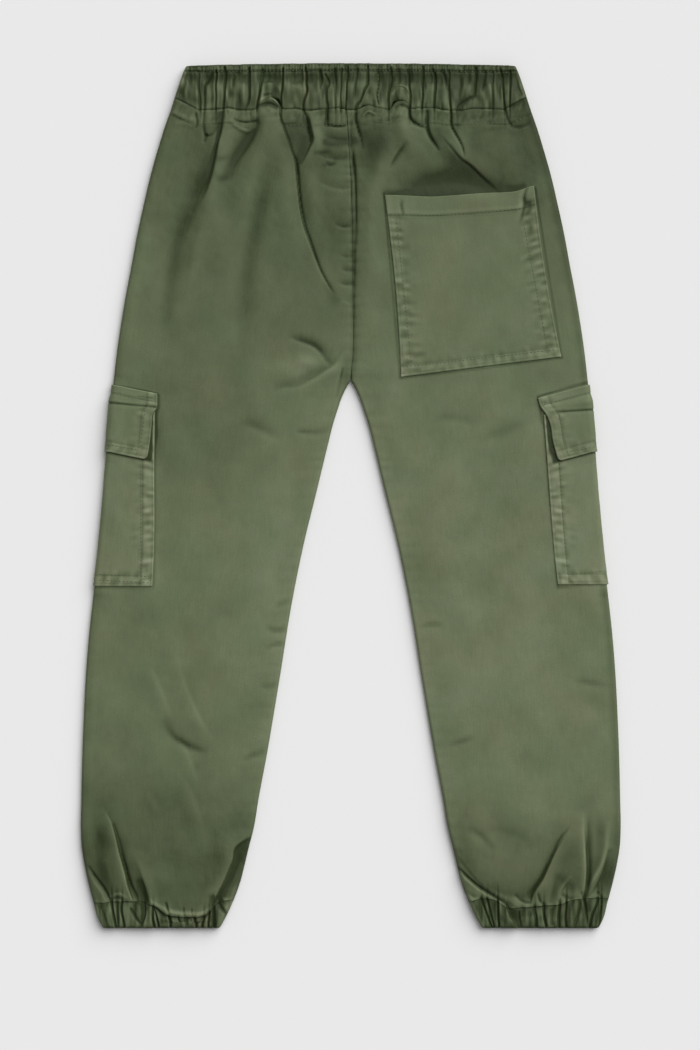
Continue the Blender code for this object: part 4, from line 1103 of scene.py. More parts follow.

# Broad patches of painted light and shade, which stand in for the light's fall-off across the pants and the shade of
# hollows: (x, drop, reach across, reach along, amount)
LIGHT_AND_SHADE_PATCHES = tuple(LightAndShadePatch(*row) for row in (
    (0, 14, 240, 24, -0.50), (0, 60, 220, 34, -0.34), (-130, 104, 50, 56, -0.30), (-40, 130, 60, 70, -0.12),
    (142, 90, 46, 66, -0.52), (82, 92, 40, 15, -0.42), (-130, 215, 50, 70, -0.12), (-60, 190, 40, 60, -0.10),
    (-110, 640, 110, 46, -0.62), (-150, 560, 60, 60, -0.14), (140, 652, 90, 40, -0.38),
    (90, 320, 110, 120, 0.10), (130, 470, 80, 100, 0.20), (-70, 400, 40, 80, 0.12), (4, 150, 34, 60, -0.24),
    (0, 690, 240, 18, -0.42), (100, 16, 60, 26, -0.30), (-8, 96, 26, 46, -0.12), (-120, 300, 60, 60, -0.22),
    (-185, 390, 30, 80, 0.10), (-3, 250, 5, 16, -0.40), (28, 58, 7, 18, -0.36), (-208, 640, 16, 50, -0.35),
    (-86, 640, 12, 34, -0.20), (208, 650, 14, 34, -0.30), (158, 600, 40, 30, 0.08), (112, 27, 13, 8, 0.30),
    (-165, 592, 44, 24, -0.22), (-30, 56, 34, 20, -0.24), (-46, 50, 9, 14, -0.20), (-90, 160, 80, 90, -0.12),
    (172, 150, 12, 80, -0.15), (99, 69, 9, 12, -0.30), (124, 85, 12, 14, 0.16), (70, 58, 7, 8, -0.25),
    (-44, 243, 22, 8, 0.25), (58, 408, 14, 14, -0.22), (-62, 380, 20, 40, 0.12), (-85, 470, 22, 22, 0.14),
    (-150, 548, 20, 20, 0.14), (170, 636, 13, 24, -0.34), (181, 656, 9, 8, -0.26), (-134, 34, 10, 8, -0.34),
    (-88, 34, 10, 5, -0.24), (92, 33, 8, 5, 0.22), (125, 33, 6, 5, 0.26), (86, 620, 12, 30, -0.20),
    (150, 60, 22, 30, -0.14), (-30, 122, 40, 60, -0.12), (132, 612, 34, 11, -0.14), (136, 645, 20, 11, 0.10),
    (8, 73, 3.5, 13, -0.34), (-13, 50, 6, 11, 0.26), (-80, 140, 7, 58, 0.14), (-112, 53, 18, 6, -0.14),
    (45, 62, 5, 14, -0.22), (84, 48, 4, 8, -0.26), (146, 140, 5, 44, -0.10), (-150, 662, 30, 8, -0.16),
    (-135, 625, 18, 20, 0.09), (-211, 520, 8, 60, -0.10), (85, 405, 22, 16, -0.09), (-25, 200, 30, 24, -0.08),
    (-118, 158, 7, 16, 0.14),
))

# Painted shade along folds, in hollows and beside raised edges, and painted highlights along rims, with the amount of
# painted tone in place of a height
PAINTED_SHADE_AND_HIGHLIGHTS = creases(
    Edge.SOFT,
    # The fan of folds on the left of the seat
    (1.6, 0.9, (-104, 41, -0.7), (-104, 50, -0.8), (-105, 58, -0.7), (-107, 66, -0.8), (-110, 74, -0.8),
     (-111, 80, -0.5)),
    (3.6, 2, (-107, 39, -0.5), (-106, 48, -0.5), (-105, 56, -0.2)),
    (8, 7, (-112, 76, -0.1), (-119, 88, -0.2), (-126, 102, -0.24), (-132, 122, -0.24), (-138, 146, -0.24),
     (-143, 172, -0.22), (-147, 198, -0.16), (-151, 225, 0)),
    (2.4, 2.4, (-109, 76, -0.1), (-104, 77, -0.4), (-97, 75, -0.1)),
    (3, 3, (-109, 91, -0.15), (-103, 93, -0.35), (-96, 90, -0.1)),
    (6, 3, (-106, 68, -0.1), (-110, 84, -0.18), (-113, 97, -0.2), (-118, 114, -0.2), (-123, 132, -0.24),
     (-129, 158, -0.22), (-136, 198, 0)),
    (5, 4, (-76, 52, -0.2), (-83, 60, -0.3), (-90, 70, -0.35), (-96, 80, -0.3), (-101, 90, -0.25), (-106, 96, -0.1)),
    (8, 8, (-60, 82, 0), (-70, 108, -0.16), (-77, 132, -0.24), (-80, 158, -0.24), (-82, 190, -0.18), (-84, 222, 0)),
    (0.7, 0.7, (-95, 46.2, -0.3), (-86, 47.8, -0.5), (-76, 47, -0.5)),
    # The long pleat, black where it opens, and the fold that runs into it
    (0.6, 0.6, (-56.6, 37, -0.4), (-56.2, 43, -0.5), (-53.8, 50, -0.4), (-50.2, 62, -0.4), (-46, 74, -0.3)),
    (0.9, 1.1, (-43, 79, -0.4), (-43, 84, -1.5), (-43, 91, -1.6), (-42, 98, -1.3), (-41, 108, -0.9),
     (-39, 120, -0.8), (-37, 131, -0.7), (-33, 141, -0.6), (-30, 150, -0.4), (-24, 166, -0.3), (-16, 180, -0.2)),
    (1.4, 0.7, (-35.8, 46, -0.4), (-34.6, 51, -0.9), (-33.2, 58, -0.9), (-32.4, 61, -0.3)),
    (4, 1.6, (-35, 62, -0.3), (-37, 69, -0.5), (-40, 76, -0.5), (-42, 82, -0.4)),
    (0.7, 0.7, (-54, 49.6, -0.5), (-45, 50.4, -0.6), (-37, 49.6, -0.6)),
    (1.5, 3, (-48, 219, -0.1), (-36, 223, -0.35), (-27, 228, -0.35), (-20, 238, -0.25)),
    (4, 4, (-18, 178, -0.2), (-12, 190, -0.3)),
    # Beside the centre seam
    (3.5, 3.5, (-26, 44, 0.15), (-25, 68, 0.25)),
    (3.4, 2.6, (-20, 63, -0.5), (-8, 63, -0.7), (3, 62, -0.7)),
    (2, 2, (-28, 72, -0.35), (-18, 71, -0.3)),
    (1.6, 1.6, (-12, 77, -0.35), (-3, 77, -0.4)),
    (1.4, 2, (-21, 82, -0.3), (-13, 81, -0.3)),
    (9, 9, (9, 50, -0.2), (17, 59, -0.4), (23, 69, -0.5), (19, 82, -0.3)),
    (0.8, 1, (1.6, 76, -0.8), (2.2, 84, -1), (3, 90, -0.8), (3.8, 97, -0.5), (4, 125, -0.45), (3.4, 160, -0.45),
     (2.6, 205, -0.4), (2, 238, -0.3)),
    # The hollow above the back pocket and round the pocket's edges
    (2.4, 0.8, (33, 80, -0.15), (38, 71, -0.2), (43, 62, -0.1)),
    (5, 12, (42, 102, -0.3), (60, 100, -0.7), (84, 99, -0.9), (104, 100, -0.8), (118, 101, -0.3)),
    (7, 9, (66, 66, -0.1), (76, 76, -0.2), (86, 87, -0.2)),
    (6, 0.8, (77, 68, -0.2), (87, 79, -0.35), (97, 87, -0.35), (107, 97, -0.2)),
    (1, 0.6, (95, 81.4, -0.3), (100, 86.4, -0.6), (106, 92.4, -0.7), (112, 97.6, -0.4)),
    (1.4, 3.2, (28, 105, -0.6), (45, 105.6, -0.9), (60, 106.4, -1), (75, 106, -1), (100, 104.4, -1), (120, 103, -1),
     (131, 102, -0.9), (138, 99.6, -0.5)),
    (0.7, 0.7, (26.4, 105, -0.9), (33, 178, -0.5), (39.4, 252, -0.5)),
    (0.7, 0.7, (39.4, 252.6, -0.5), (104, 245, -0.4), (170, 236, -0.5)),
    (1, 0.7, (148, 100, -0.6), (159, 170, -0.5), (169.6, 236, -0.5)),
    # Round the cargo pockets and their flaps
    (1, 0.6, (-192, 258, -0.9), (-170, 261.8, -0.9), (-155, 265, -0.8)),
    (1.2, 1.2, (-154, 266, -0.6), (-154, 275, -0.7), (-156, 282, -1.3), (-156, 298, -1.3), (-157, 312, -0.6),
     (-157, 360, -0.4), (-158, 419, -0.4)),
    (3, 3, (-152, 276, 0), (-153, 290, -0.25), (-154, 308, -0.2), (-155, 325, 0)),
    (1, 0.6, (150, 267.4, -0.9), (170, 261, -0.9), (190, 255.6, -0.9)),
    (1, 1, (150, 268, -0.6), (152, 278, -0.8), (153, 286, -0.6), (156, 296, -0.6), (158, 330, -0.5),
     (163, 384, -0.5), (166, 419, -0.5)),
    (1, 1, (-206, 420, -0.5), (-159, 421, -0.5)),
    (1, 1, (166, 420, -0.5), (206, 416, -0.5)),
    # The left ankle
    (5, 4, (-202, 612, 0), (-201, 632, -0.35), (-197, 650, -0.45), (-192, 664, -0.35)),
    (0.7, 1.5, (-190.6, 611, -0.3), (-188, 620, -0.6), (-184.8, 633, -0.9), (-180.4, 647, -1.5), (-176.8, 659, -1.6),
     (-172, 668, -1.2), (-170, 673, -1)),
    (3.4, 3, (-176, 632, 0), (-172, 646, -0.3), (-168, 658, -0.5), (-166, 668, -0.9), (-165, 676, -0.9)),
    (0.6, 0.6, (-209, 645.6, -0.5), (-205, 651.4, -0.9), (-200, 657.6, -1.2), (-196, 663.6, -1.2), (-193, 670, -1),
     (-191, 680, -1), (-188.4, 692, -1)),
    (2, 0.8, (-165.6, 676, -1), (-165, 684, -0.8), (-167, 690, -0.3)),
    (2, 3, (-150, 522, 0), (-145, 536, -0.25), (-135, 544, -0.35), (-122, 550, -0.3), (-112, 552, 0)),
    (0.6, 1.4, (-81, 622, -0.9), (-90.8, 628.6, -1.1), (-94, 638, -1.3), (-98, 648, -1.5), (-102.4, 658, -1.6),
     (-107.6, 668, -1.6)),
    (2, 4, (-84, 628, -0.3), (-92, 642, -0.4), (-99, 658, -0.4), (-104, 668, -0.5)),
    (1.6, 1.6, (-89, 640, 0.3), (-93, 652, 0.4), (-98, 662, 0.4)),
    (3, 1.6, (-110, 668, -1), (-108, 680, -1.4), (-109, 692, -1.3)),
    # The right ankle
    (0.7, 0.9, (86, 645, -0.6), (97, 655.6, -0.9), (110, 664.8, -1), (121, 671.6, -1), (126, 677, -0.9),
     (129, 685, -0.8), (132.6, 692, -0.8)),
    (2, 1.4, (133, 678, -0.5), (134, 692, -0.9)),
    (2, 8, (86, 636, -0.2), (103, 654, -0.35), (120, 664, -0.5), (142, 668, -0.4)),
    (3, 0.6, (166, 624, -0.2), (157, 643, -0.4), (151.6, 655, -0.6), (145, 666, -0.8)),
    (1.2, 2.6, (191, 602, 0), (191, 616, -0.3), (192, 640, -0.35), (190, 656, -0.5), (188, 667, -0.9),
     (189, 678, -0.9)),
    (3, 3, (199, 598, 0), (200, 615, -0.25), (197, 638, -0.25), (193, 652, 0)),
    (4, 5, (209, 636, 0), (207, 650, -0.35), (201, 664, -0.35)),
    (3, 5, (100, 616, 0), (120, 614, -0.2), (140, 622, -0.2), (148, 634, 0)),
    (4, 4, (168, 652, -0.3), (176, 660, -0.35)),
    # The waistband
    (0.7, 0.7, (-74, 32.6, 0.6), (-71, 29, 0.9), (-67, 27.4, 0.9), (-62.4, 28.4, 0.9), (-57.8, 33, 0.6)),
    (0.7, 0.7, (-70, 25.4, -0.6), (-65, 24.8, -0.8), (-60, 26, -0.6)),
    (2.2, 2, (-72, 34, -0.6), (-66, 32, -0.9), (-59, 34, -0.7)),
    (0.7, 0.7, (33.4, 25, 0.5), (38, 20, 0.7), (43.6, 21.4, 0.7), (46.4, 27, 0.4)),
    (2, 2.6, (34, 29, -0.2), (40, 30, -0.5), (46, 33, -0.4)),
    (2.6, 2.6, (-101, 8, -0.6), (-92, 9, -0.4)),
    (3, 3, (-90, 13, -0.35), (-84, 14, -0.2)),
    (3, 3, (-68, 13, -0.35), (-58, 16, -0.3)),
    (3, 3, (-47, 12, -0.45), (-40, 14, -0.3)),
    (1.6, 1.6, (41, 8, -0.3), (46, 17, -0.3)),
    (2.4, 2.4, (88, 9, -0.35), (89, 18, -0.15)),
    (2.6, 1, (96, 28, -0.7), (90, 31, -0.6), (87, 35, -0.4)),
    (2.8, 2.8, (104, 8, -0.5), (107, 15, -0.6), (106, 21, 0)),
    (2, 2, (118, 8, -0.35), (120, 15, -0.3)),
    (1.4, 1.8, (130, 35, -0.5), (141, 28, -0.6)),
)


@dataclass
class Leg:
    """One leg of the pants with its half of the seat: where its cloth lies, front and back."""

    cargo: Cargo
    gathers: Gathers
    finish: bpy.types.Material
    curl_steps: int = 8
    middle_steps: int = 184
    back_rows: tuple[tuple[float, int], ...] = ((37.35, 0), (100, 100), (262, 240), (600, 392), (671.85, 456))
    front_rows: int = 240
    front_steps: int = 80
    seam_roll: float = 1.0
    casing_crest: float = 5.8
    deepest_hollow: float = 1.6

    @property
    def sign(self) -> int:
        """-1 for the left leg and 1 for the right."""
        return self.cargo.sign

    def wave(self, x: Grid, drop: Grid) -> Grid:
        """Give the soft waves and small wrinkles that lie all over the cloth, in mm."""
        lively = 0.6 + 0.9 * (1 - ease((drop - 60) / 190)) + 0.7 * ease((drop - 560) / 90)
        broad = 0.7 * Ripple(3, 40, 78, 12).at(x, drop) + 0.42 * Ripple(5, 17, 34, -14).at(x, drop)
        small = 0.14 * Ripple(7, 8.0, 13, 24).at(x, drop) + 0.06 * Ripple(9, 4.0, 6.0, -31).at(x, drop)
        return (broad + small) * lively

    def seam_relief(self, x: Grid, drop: Grid, row: Grid, from_inner: Grid) -> Grid:
        """Give the puckers and ridges beside the seams of the back.

        Args:
            x: Places across, in mm.
            drop: Places down, in mm.
            row: Rows on the flat cloth.
            from_inner: Distances from the centre seam or the inseam.

        Returns:
            The heights in mm.
        """
        below_band = row - FORM.band_depth
        shown = ease(0.5 + 1.1 * Ripple(45, 17, 60).at(x, drop))
        allowance = 0.3 * ease(below_band / 1.5) * (1 - ease((below_band - 10.5) / 2.5)) * shown
        tucks = Pucker(41, 4.6, 0.3).at(x + 0.5 * below_band) * bell(below_band - 4, 6.0)
        tucks = tucks + 0.45 * Ripple(42, 3.4, 5.5, 15).at(x, drop) * bell(below_band - 7, 7.0)
        tucks = tucks + 0.4 * Ripple(44, 9.0, 3.2, -12).at(x, drop) * bell(below_band - 10, 7.0)
        stitched = -0.3 * bell(below_band - 12, 0.8) * shown
        seat = 1 - FORM.split(row)
        centre = Pucker(43, 8.6, 0.5).at(drop) * np.exp(-from_inner / 5) * seat
        inseam = Pucker(47, 9.5, 0.35).at(drop) * np.exp(-from_inner / 8) * (1 - seat)
        return allowance + tucks + stitched + centre + inseam

    def back_points(
        self, from_side: Grid, side_turn: Grid, inner_turn: Grid, row: Grid, fine: bool = True,
    ) -> Grid:
        """Lay points of the back on its form and folds.

        Args:
            from_side: Distances in from the side fold.
            side_turn: How far the cloth has turned up round the side fold, 0 to 1.
            inner_turn: The same at the inner edge.
            row: Rows on the flat cloth.
            fine: Whether the seams' puckers and the small wrinkles are wanted too.

        Returns:
            Points of (x, y, z) in mm.
        """
        drop = row - FORM.climb(from_side, row) + self.cargo.bend(from_side, row)
        x = self.sign * (FORM.side.at(drop) - from_side)
        drop = drop - FORM.arch(x, row) + FORM.sag(x, row)
        reach = np.abs(x)
        split = FORM.split(row)
        rest = self.cargo.drape(from_side, row)
        depth, crown = FORM.fold.at(drop), FORM.crown.at(drop)
        from_inner = np.maximum(reach - FORM.inner_reach(row), 0)
        rise = (1 - np.exp(-from_side / FORM.crown_reach)) * (1 - split * np.exp(-from_inner / FORM.crown_reach))
        relief = sum(depth * creases_relief(group, x, drop) for depth, group in FOLDS)
        if fine:
            shift = FORM.centre_seam.at(row) * self.sign * (1 - split)
            relief = relief + self.wave(x, drop)
            relief = relief + self.seam_relief(x, drop, row, np.maximum(from_inner - shift, 0))
        height = rest + higher(depth + (crown - depth) * rise + relief, FORM.least_height + FORM.least_share * depth)
        height = self.meet_casings(height, x, row, from_inner, split)
        rim = rest + depth / 2 + FORM.seam_gap / 2
        z = rim + (height - rim) * side_turn * (1 - split * (1 - inner_turn))
        return np.stack((x, FORM.length / 2 - drop, z), axis=-1)

    def meet_casings(self, height: Grid, x: Grid, row: Grid, from_inner: Grid, split: Grid) -> Grid:
        """Bring the cloth down into the gathers of the waistband and the cuff, and into the centre seam.

        Args:
            height: Heights of the cloth.
            x: Places across.
            row: Rows on the flat cloth.
            from_inner: Distances from the inner edge.
            split: How far the inner edge is a fold of its own.

        Returns:
            The heights with the edges rolled down.
        """
        below = row - FORM.band_depth
        gathered = self.casing_crest + BAND_GATHERS.relief(x, np.full_like(row, FORM.band_depth))
        height = gathered + (height - gathered) * (0.6 * ease((below + 3) / 8) + 0.4 * ease((below + 2) / 22))
        above, held = FORM.cuff_seam - row, bell(x + 138, 22)
        drawn = self.casing_crest + self.gathers.relief(x, np.full_like(row, FORM.cuff_seam))
        height = drawn + (height - drawn) * (
            0.6 * ease((above + 3) / (7 - 5 * held)) + 0.4 * ease((above + 2) / (20 - 14 * held)))
        drawn_in = 0.15 + 0.85 * ease(0.5 + 1.5 * Ripple(49, 9, 200).at(x, row)) * (1 - bell(x + 65, 9))
        height = height - 0.8 * drawn_in * bell(below, self.seam_roll)
        height = height - 0.5 * drawn_in * bell(above, self.seam_roll)
        shift = FORM.centre_seam.at(row) * self.sign
        to_seam = np.maximum(from_inner - shift, 0)
        groove, width = (1.3, 3.4) if self.sign > 0 else (0.9, 1.2)
        return height - groove * (1 - split) * np.exp(-((to_seam / width) ** 1.5))

    def front_points(self, from_side: Grid, side_turn: Grid, inner_turn: Grid, row: Grid, fine: bool = True) -> Grid:
        """Lay points of the front, which rests on the surface, with its small hollows.

        Args:
            from_side: Distances in from the side fold.
            side_turn: How far the cloth has turned under round the side fold, 0 to 1.
            inner_turn: The same at the inner edge.
            row: Rows on the flat cloth.
            fine: Whether the hollows are wanted too.

        Returns:
            Points of (x, y, z) in mm.
        """
        drop = row - FORM.climb(from_side, row)
        x = self.sign * (FORM.side.at(drop) - from_side)
        split = FORM.split(row)
        rest = self.cargo.rest(from_side, row)
        rim = rest + FORM.fold.at(drop) / 2 - FORM.seam_gap / 2
        turn = side_turn * (1 - split * (1 - inner_turn))
        low = rest
        if fine:
            hollow = np.maximum(self.wave(x + 900, drop) + 0.05, 0) * 0.8
            below, above = row - FORM.band_depth, FORM.cuff_seam - row
            gathered = 0.9 * (1 - BAND_GATHERS.share(x, np.full_like(row, 20.0)))
            drawn = 0.9 * (1 - self.gathers.share(x, np.full_like(row, 680.0)))
            hollow = hollow + gathered * np.exp(-below / 16) + drawn * np.exp(-above / 14)
            from_inner = np.maximum(np.abs(x) - FORM.inner_reach(drop), 0)
            hollow = hollow + 0.6 * (1 - split) * np.exp(-from_inner / 1.2)
            hollow = hollow + 0.7 * bell(below, 1.2) + 0.7 * bell(above, 1.2)
            low = rest + np.clip(hollow, 0, self.deepest_hollow)
        z = rim - (rim - low) * turn
        return np.stack((x, FORM.length / 2 - drop, z), axis=-1)

    def lattice(self, rows: Grid, steps: int, is_back: bool) -> dict[str, Grid]:
        """Work out a panel's grid from its side fold to its inner edge.

        Args:
            rows: Rows of the grid.
            steps: Columns between the two curls.
            is_back: Whether it is the back, whose centre seam wanders.

        Returns:
            Named grids: row, from_side, side_turn, inner_turn, girth and the split.
        """
        row = rows[:, None]
        curl = np.linspace(0, QUARTER, self.curl_steps + 1)[None, :]
        radius = FORM.fold.at(row) / 2
        split = FORM.split(row)
        inner = np.maximum(FORM.inner_reach(row), FORM.seam_gap / 2)
        if is_back:
            inner = inner + FORM.centre_seam.at(row) * self.sign
        width = FORM.side.at(row) - inner
        turn_in = radius * (1 - np.cos(curl))
        middle = radius + (width - 2 * radius) * np.linspace(0, 1, steps + 1)[None, 1:-1]
        from_side = np.hstack((turn_in, middle, width - turn_in[:, ::-1]))
        sine = np.sin(curl) * np.ones_like(radius)
        ones = np.ones_like(middle)
        girth = np.hstack((radius * curl, from_side[:, self.curl_steps + 1:] + radius * (QUARTER - 1)))
        return {
            "row": row * np.ones_like(from_side), "from_side": from_side, "girth": girth,
            "side_turn": np.hstack((sine, ones, np.ones_like(sine))),
            "inner_turn": np.hstack((np.ones_like(sine), ones, sine[:, ::-1])),
            "split": split * np.ones_like(from_side),
        }

    def out_of_wall(self, lattice: dict[str, Grid], level: int) -> Grid:
        """Give the direction out of the cloth, from the turns of its grid."""
        side, inner = lattice["side_turn"], 1 - lattice["split"] * (1 - lattice["inner_turn"])
        sideways = np.sqrt(1 - side**2) - np.sqrt(np.maximum(1 - inner**2, 0))
        out = np.stack((self.sign * sideways, np.zeros_like(side), level * side * inner), axis=-1)
        return out / (np.linalg.norm(out, axis=-1)[..., None] + 1e-9)

    def build_back(self) -> bpy.types.Object:
        """Make the back panel.

        Returns:
            The panel's object.
        """
        place, count = zip(*self.back_rows)
        lattice = self.lattice(np.interp(np.arange(count[-1] + 1), count, place), self.middle_steps, True)
        row, side_turn, inner_turn = lattice["row"], lattice["side_turn"], lattice["inner_turn"]
        face = self.back_points(lattice["from_side"], side_turn, inner_turn, row)
        flat = (side_turn > FLAT_TURN) * (inner_turn > FLAT_TURN)
        return self.build_panel("back", face, lattice, 1, self.panel_wear_and_shade(face, row, flat))

    def build_panel(
        self, panel: str, face: Grid, lattice: dict[str, Grid], level: int, wear_and_shade: Grid,
    ) -> bpy.types.Object:
        """Close a panel's face with an inner side that stays clear of its creases.

        Args:
            panel: "back" or "front".
            face: Points of its outer side.
            lattice: Its named grids.
            level: 1 on top and -1 underneath.
            wear_and_shade: The worn dye and painted light and shade of its outer side.

        Returns:
            The panel's object.
        """
        name = panel + "_" + self.cargo.name
        piece = ClothPiece("seat_and_leg_" + name, name, "panel_twill", self.finish)
        step, inside = piece.step, face.copy()
        curl, last = self.curl_steps, face.shape[1] - self.curl_steps
        clear = np.min if level > 0 else np.max
        for i in range(0, face.shape[0], step):
            for j in range(curl, last, step):
                around = face[max(i - step, 0):i + step + 1, max(j - step, curl):min(j + step + 1, last), 2]
                inside[i, j, 2] = clear(around)
        back = (inside - FORM.cloth * self.out_of_wall(lattice, level))[::step, ::step]
        return piece.build(face, back, np.stack((lattice["girth"], lattice["row"]), axis=-1), wear_and_shade)

    def panel_wear_and_shade(self, face: Grid, row: Grid, flat: Grid) -> Grid:
        """Work out the back's tone: rubbed dye with painted light and painted shade.

        Args:
            face: The panel's points.
            row: Rows on the flat cloth.
            flat: Where the cloth isn't turned round a fold.

        Returns:
            The tone: painted shade below zero in folds, on steep flanks and near the side folds, painted light above
            it on crests, and paler along a ragged strip above the cuff seam.
        """
        x, drop, height = face[..., 0], FORM.length / 2 - face[..., 1], face[..., 2]
        # Painted shade in creases and painted light on crests, by how far the cloth stands over its neighbours
        fine = proud(height, 2)
        wear_and_shade = 0.2 * fine + 0.8 * np.minimum(fine, 0) + 0.2 * proud(height, 16)
        # Painted shade on steep flanks, which lie in the shade of their folds, and the painted lines of shade and
        # highlights
        run = np.maximum(np.abs(np.gradient(face[..., 1], axis=0)), 0.3)
        width = np.maximum(np.abs(np.gradient(x, axis=1)), 0.3)
        steep = np.hypot(np.gradient(height, axis=0) / run, np.gradient(height, axis=1) / width) * flat
        wear_and_shade = wear_and_shade - 0.5 * np.clip(steep - 0.55, 0, 1.2) + creases_relief(PAINTED_SHADE_AND_HIGHLIGHTS, x, drop)
        ragged = FORM.cuff_seam - row + 1.6 * Ripple(75, 5, 4).at(x, row)
        strip = ease((x + 162) / 5) * ease((-113 - x) / 5) if self.sign < 0 else 0.25
        wear_and_shade = wear_and_shade + 0.45 * strip * bell(ragged - 3, 3.6)
        # Painted shade near the side folds, where the cloth turns away from the light, and the broad patches of
        # painted light and shade
        wear_and_shade = wear_and_shade - (0.45 if self.sign > 0 else 0.3) * bell(FORM.side.at(drop) - np.abs(x) - 2, 4)
        return wear_and_shade + sum(fade.at(x, drop) for fade in LIGHT_AND_SHADE_PATCHES)

    def build_front(self) -> bpy.types.Object:
        """Make the front panel, which lies underneath.

        Returns:
            The panel's object.
        """
        gap = FORM.seam_gap / 2
        rows = np.linspace(FORM.band_depth + gap, FORM.cuff_seam - gap, self.front_rows + 1)
        lattice = self.lattice(rows, self.front_steps, False)
        face = self.front_points(lattice["from_side"], lattice["side_turn"], lattice["inner_turn"], lattice["row"])
        x, drop = face[..., 0], FORM.length / 2 - face[..., 1]
        # Painted shade where the underside lifts off the floor into hollows, and the broad patches of painted light
        # and shade
        wear_and_shade = -0.5 * proud(face[..., 2], 3) + sum(fade.at(x, drop) for fade in LIGHT_AND_SHADE_PATCHES)
        return self.build_panel("front", face, lattice, -1, wear_and_shade)

    def wrap(self, girth: Grid, row: Grid) -> Grid:
        """Lay points round the side fold.

        Args:
            girth: Distances from the side fold's middle, above zero on the back.
            row: Rows on the flat cloth.

        Returns:
            Points of (x, y, z) in mm, on the leg's own surface.
        """
        radius = FORM.fold.at(row) / 2
        around = np.minimum(np.abs(girth) / radius, QUARTER)
        flat = np.maximum(np.abs(girth) - radius * QUARTER, 0)
        from_side = radius * (1 - np.cos(around)) + flat
        turn, ones = np.sin(around), np.ones_like(girth)
        top = self.back_points(from_side, turn, ones, row, fine=False)
        bottom = self.front_points(from_side, turn, ones, row, fine=False)
        return np.where((girth >= 0)[..., None], top, bottom)

    def build_patch(
        self, name: str, node: str, base: Grid, gap: Grid, relief: Grid, cloth_map: Grid, wear_and_shade: Grid,
    ) -> bpy.types.Object:
        """Make one sewn-on patch over the leg's surface.

        Args:
            name: The piece's name.
            node: The solid that it stands for.
            base: Points of the leg below the patch.
            gap: Height of the patch's underside over them.
            relief: Height of the patch's face over its underside.
            cloth_map: Place of each point on the flat cloth.
            wear_and_shade: How pale each point is, from worn dye and painted light and shade.

        Returns:
            The patch's object.
        """
        normal = upward(base)
        face = base + normal * (gap + relief)[..., None]
        face[..., 2] = np.maximum(face[..., 2], FLOOR_CLEARANCE)
        piece = ClothPiece(name, node, "patch_twill", self.finish)
        back = (base + normal * gap[..., None])[::piece.step, ::piece.step]
        return piece.build(face, back, cloth_map, wear_and_shade)

    def build_cargo(self) -> tuple[bpy.types.Object, bpy.types.Object]:
        """Make the cargo pocket and its flap.

        Returns:
            The pocket and the flap.
        """
        cargo = self.cargo
        rows, columns = cargo.pocket_steps
        height = cargo.pocket_end - cargo.pocket_start
        down = spaced(height, rows)[:, None]
        across = spaced(cargo.pocket_girth, columns)[None, :]
        back_edge = cargo.pocket_top + (cargo.pocket_bottom - cargo.pocket_top) * down / height
        girth = back_edge - across
        row = (cargo.pocket_start + down) * np.ones_like(girth)
        base = self.wrap(girth, row)
        left, right = across * np.ones_like(girth), (cargo.pocket_girth - across) * np.ones_like(girth)
        foot = (height - down) * np.ones_like(girth)
        edge = rounded_edge(left, right, foot, down * np.ones_like(girth))
        relief = 0.12 + 0.9 * edge + self.strip_relief(51, left, down, foot, edge, cargo.strip)
        relief = relief + self.strip_relief(57, right, down, foot, edge, cargo.strip)
        relief = relief + self.foot_relief(53, foot, across, edge)
        waves = 0.25 * Ripple(61, 24, 40).at(across, down) + 0.08 * Ripple(63, 8, 12).at(across, down)
        relief = relief + waves * edge
        relief = np.maximum(relief, LEAST_PATCH)
        gap = np.full(girth.shape, 0.26)
        worn = 0.3 * bell(left - 4, 3.6) + 0.15 * bell(foot - 3, 2.6) + 0.12 * bell(left, 1.0) + 0.1 * bell(foot, 1.0)
        worn = worn * (0.6 + 0.9 * Ripple(65, 6, 5).at(across, down))
        # Painted shadow that the flap casts on the pocket beside and below its edge
        flap_share = (row - cargo.flap_start) / (cargo.flap_end - cargo.flap_start)
        clear = girth - cargo.flap_reach + cargo.flap_side.at(flap_share)
        shaded = 1.9 * (1 - ease((row - cargo.flap_end + 1) / 3)) * (1 - ease((clear - 2.5) / 3))
        shaded = shaded * ease((left - 1.2) / 1.2)
        # Painted light on the raised strips and painted shade in the grooves, with the worn dye, and 0.1 paler on the
        # right pocket
        wear_and_shade = 1.4 * proud(relief, 4) + worn + 0.14 + 0.1 * (cargo.sign > 0) - shaded
        pocket = self.build_patch(
            "cargo_pocket_cloth_" + cargo.name, "cargo_pocket_" + cargo.name, base, gap, relief,
            np.stack((across * np.ones_like(girth), row), axis=-1), wear_and_shade)
        return pocket, self.build_flap()

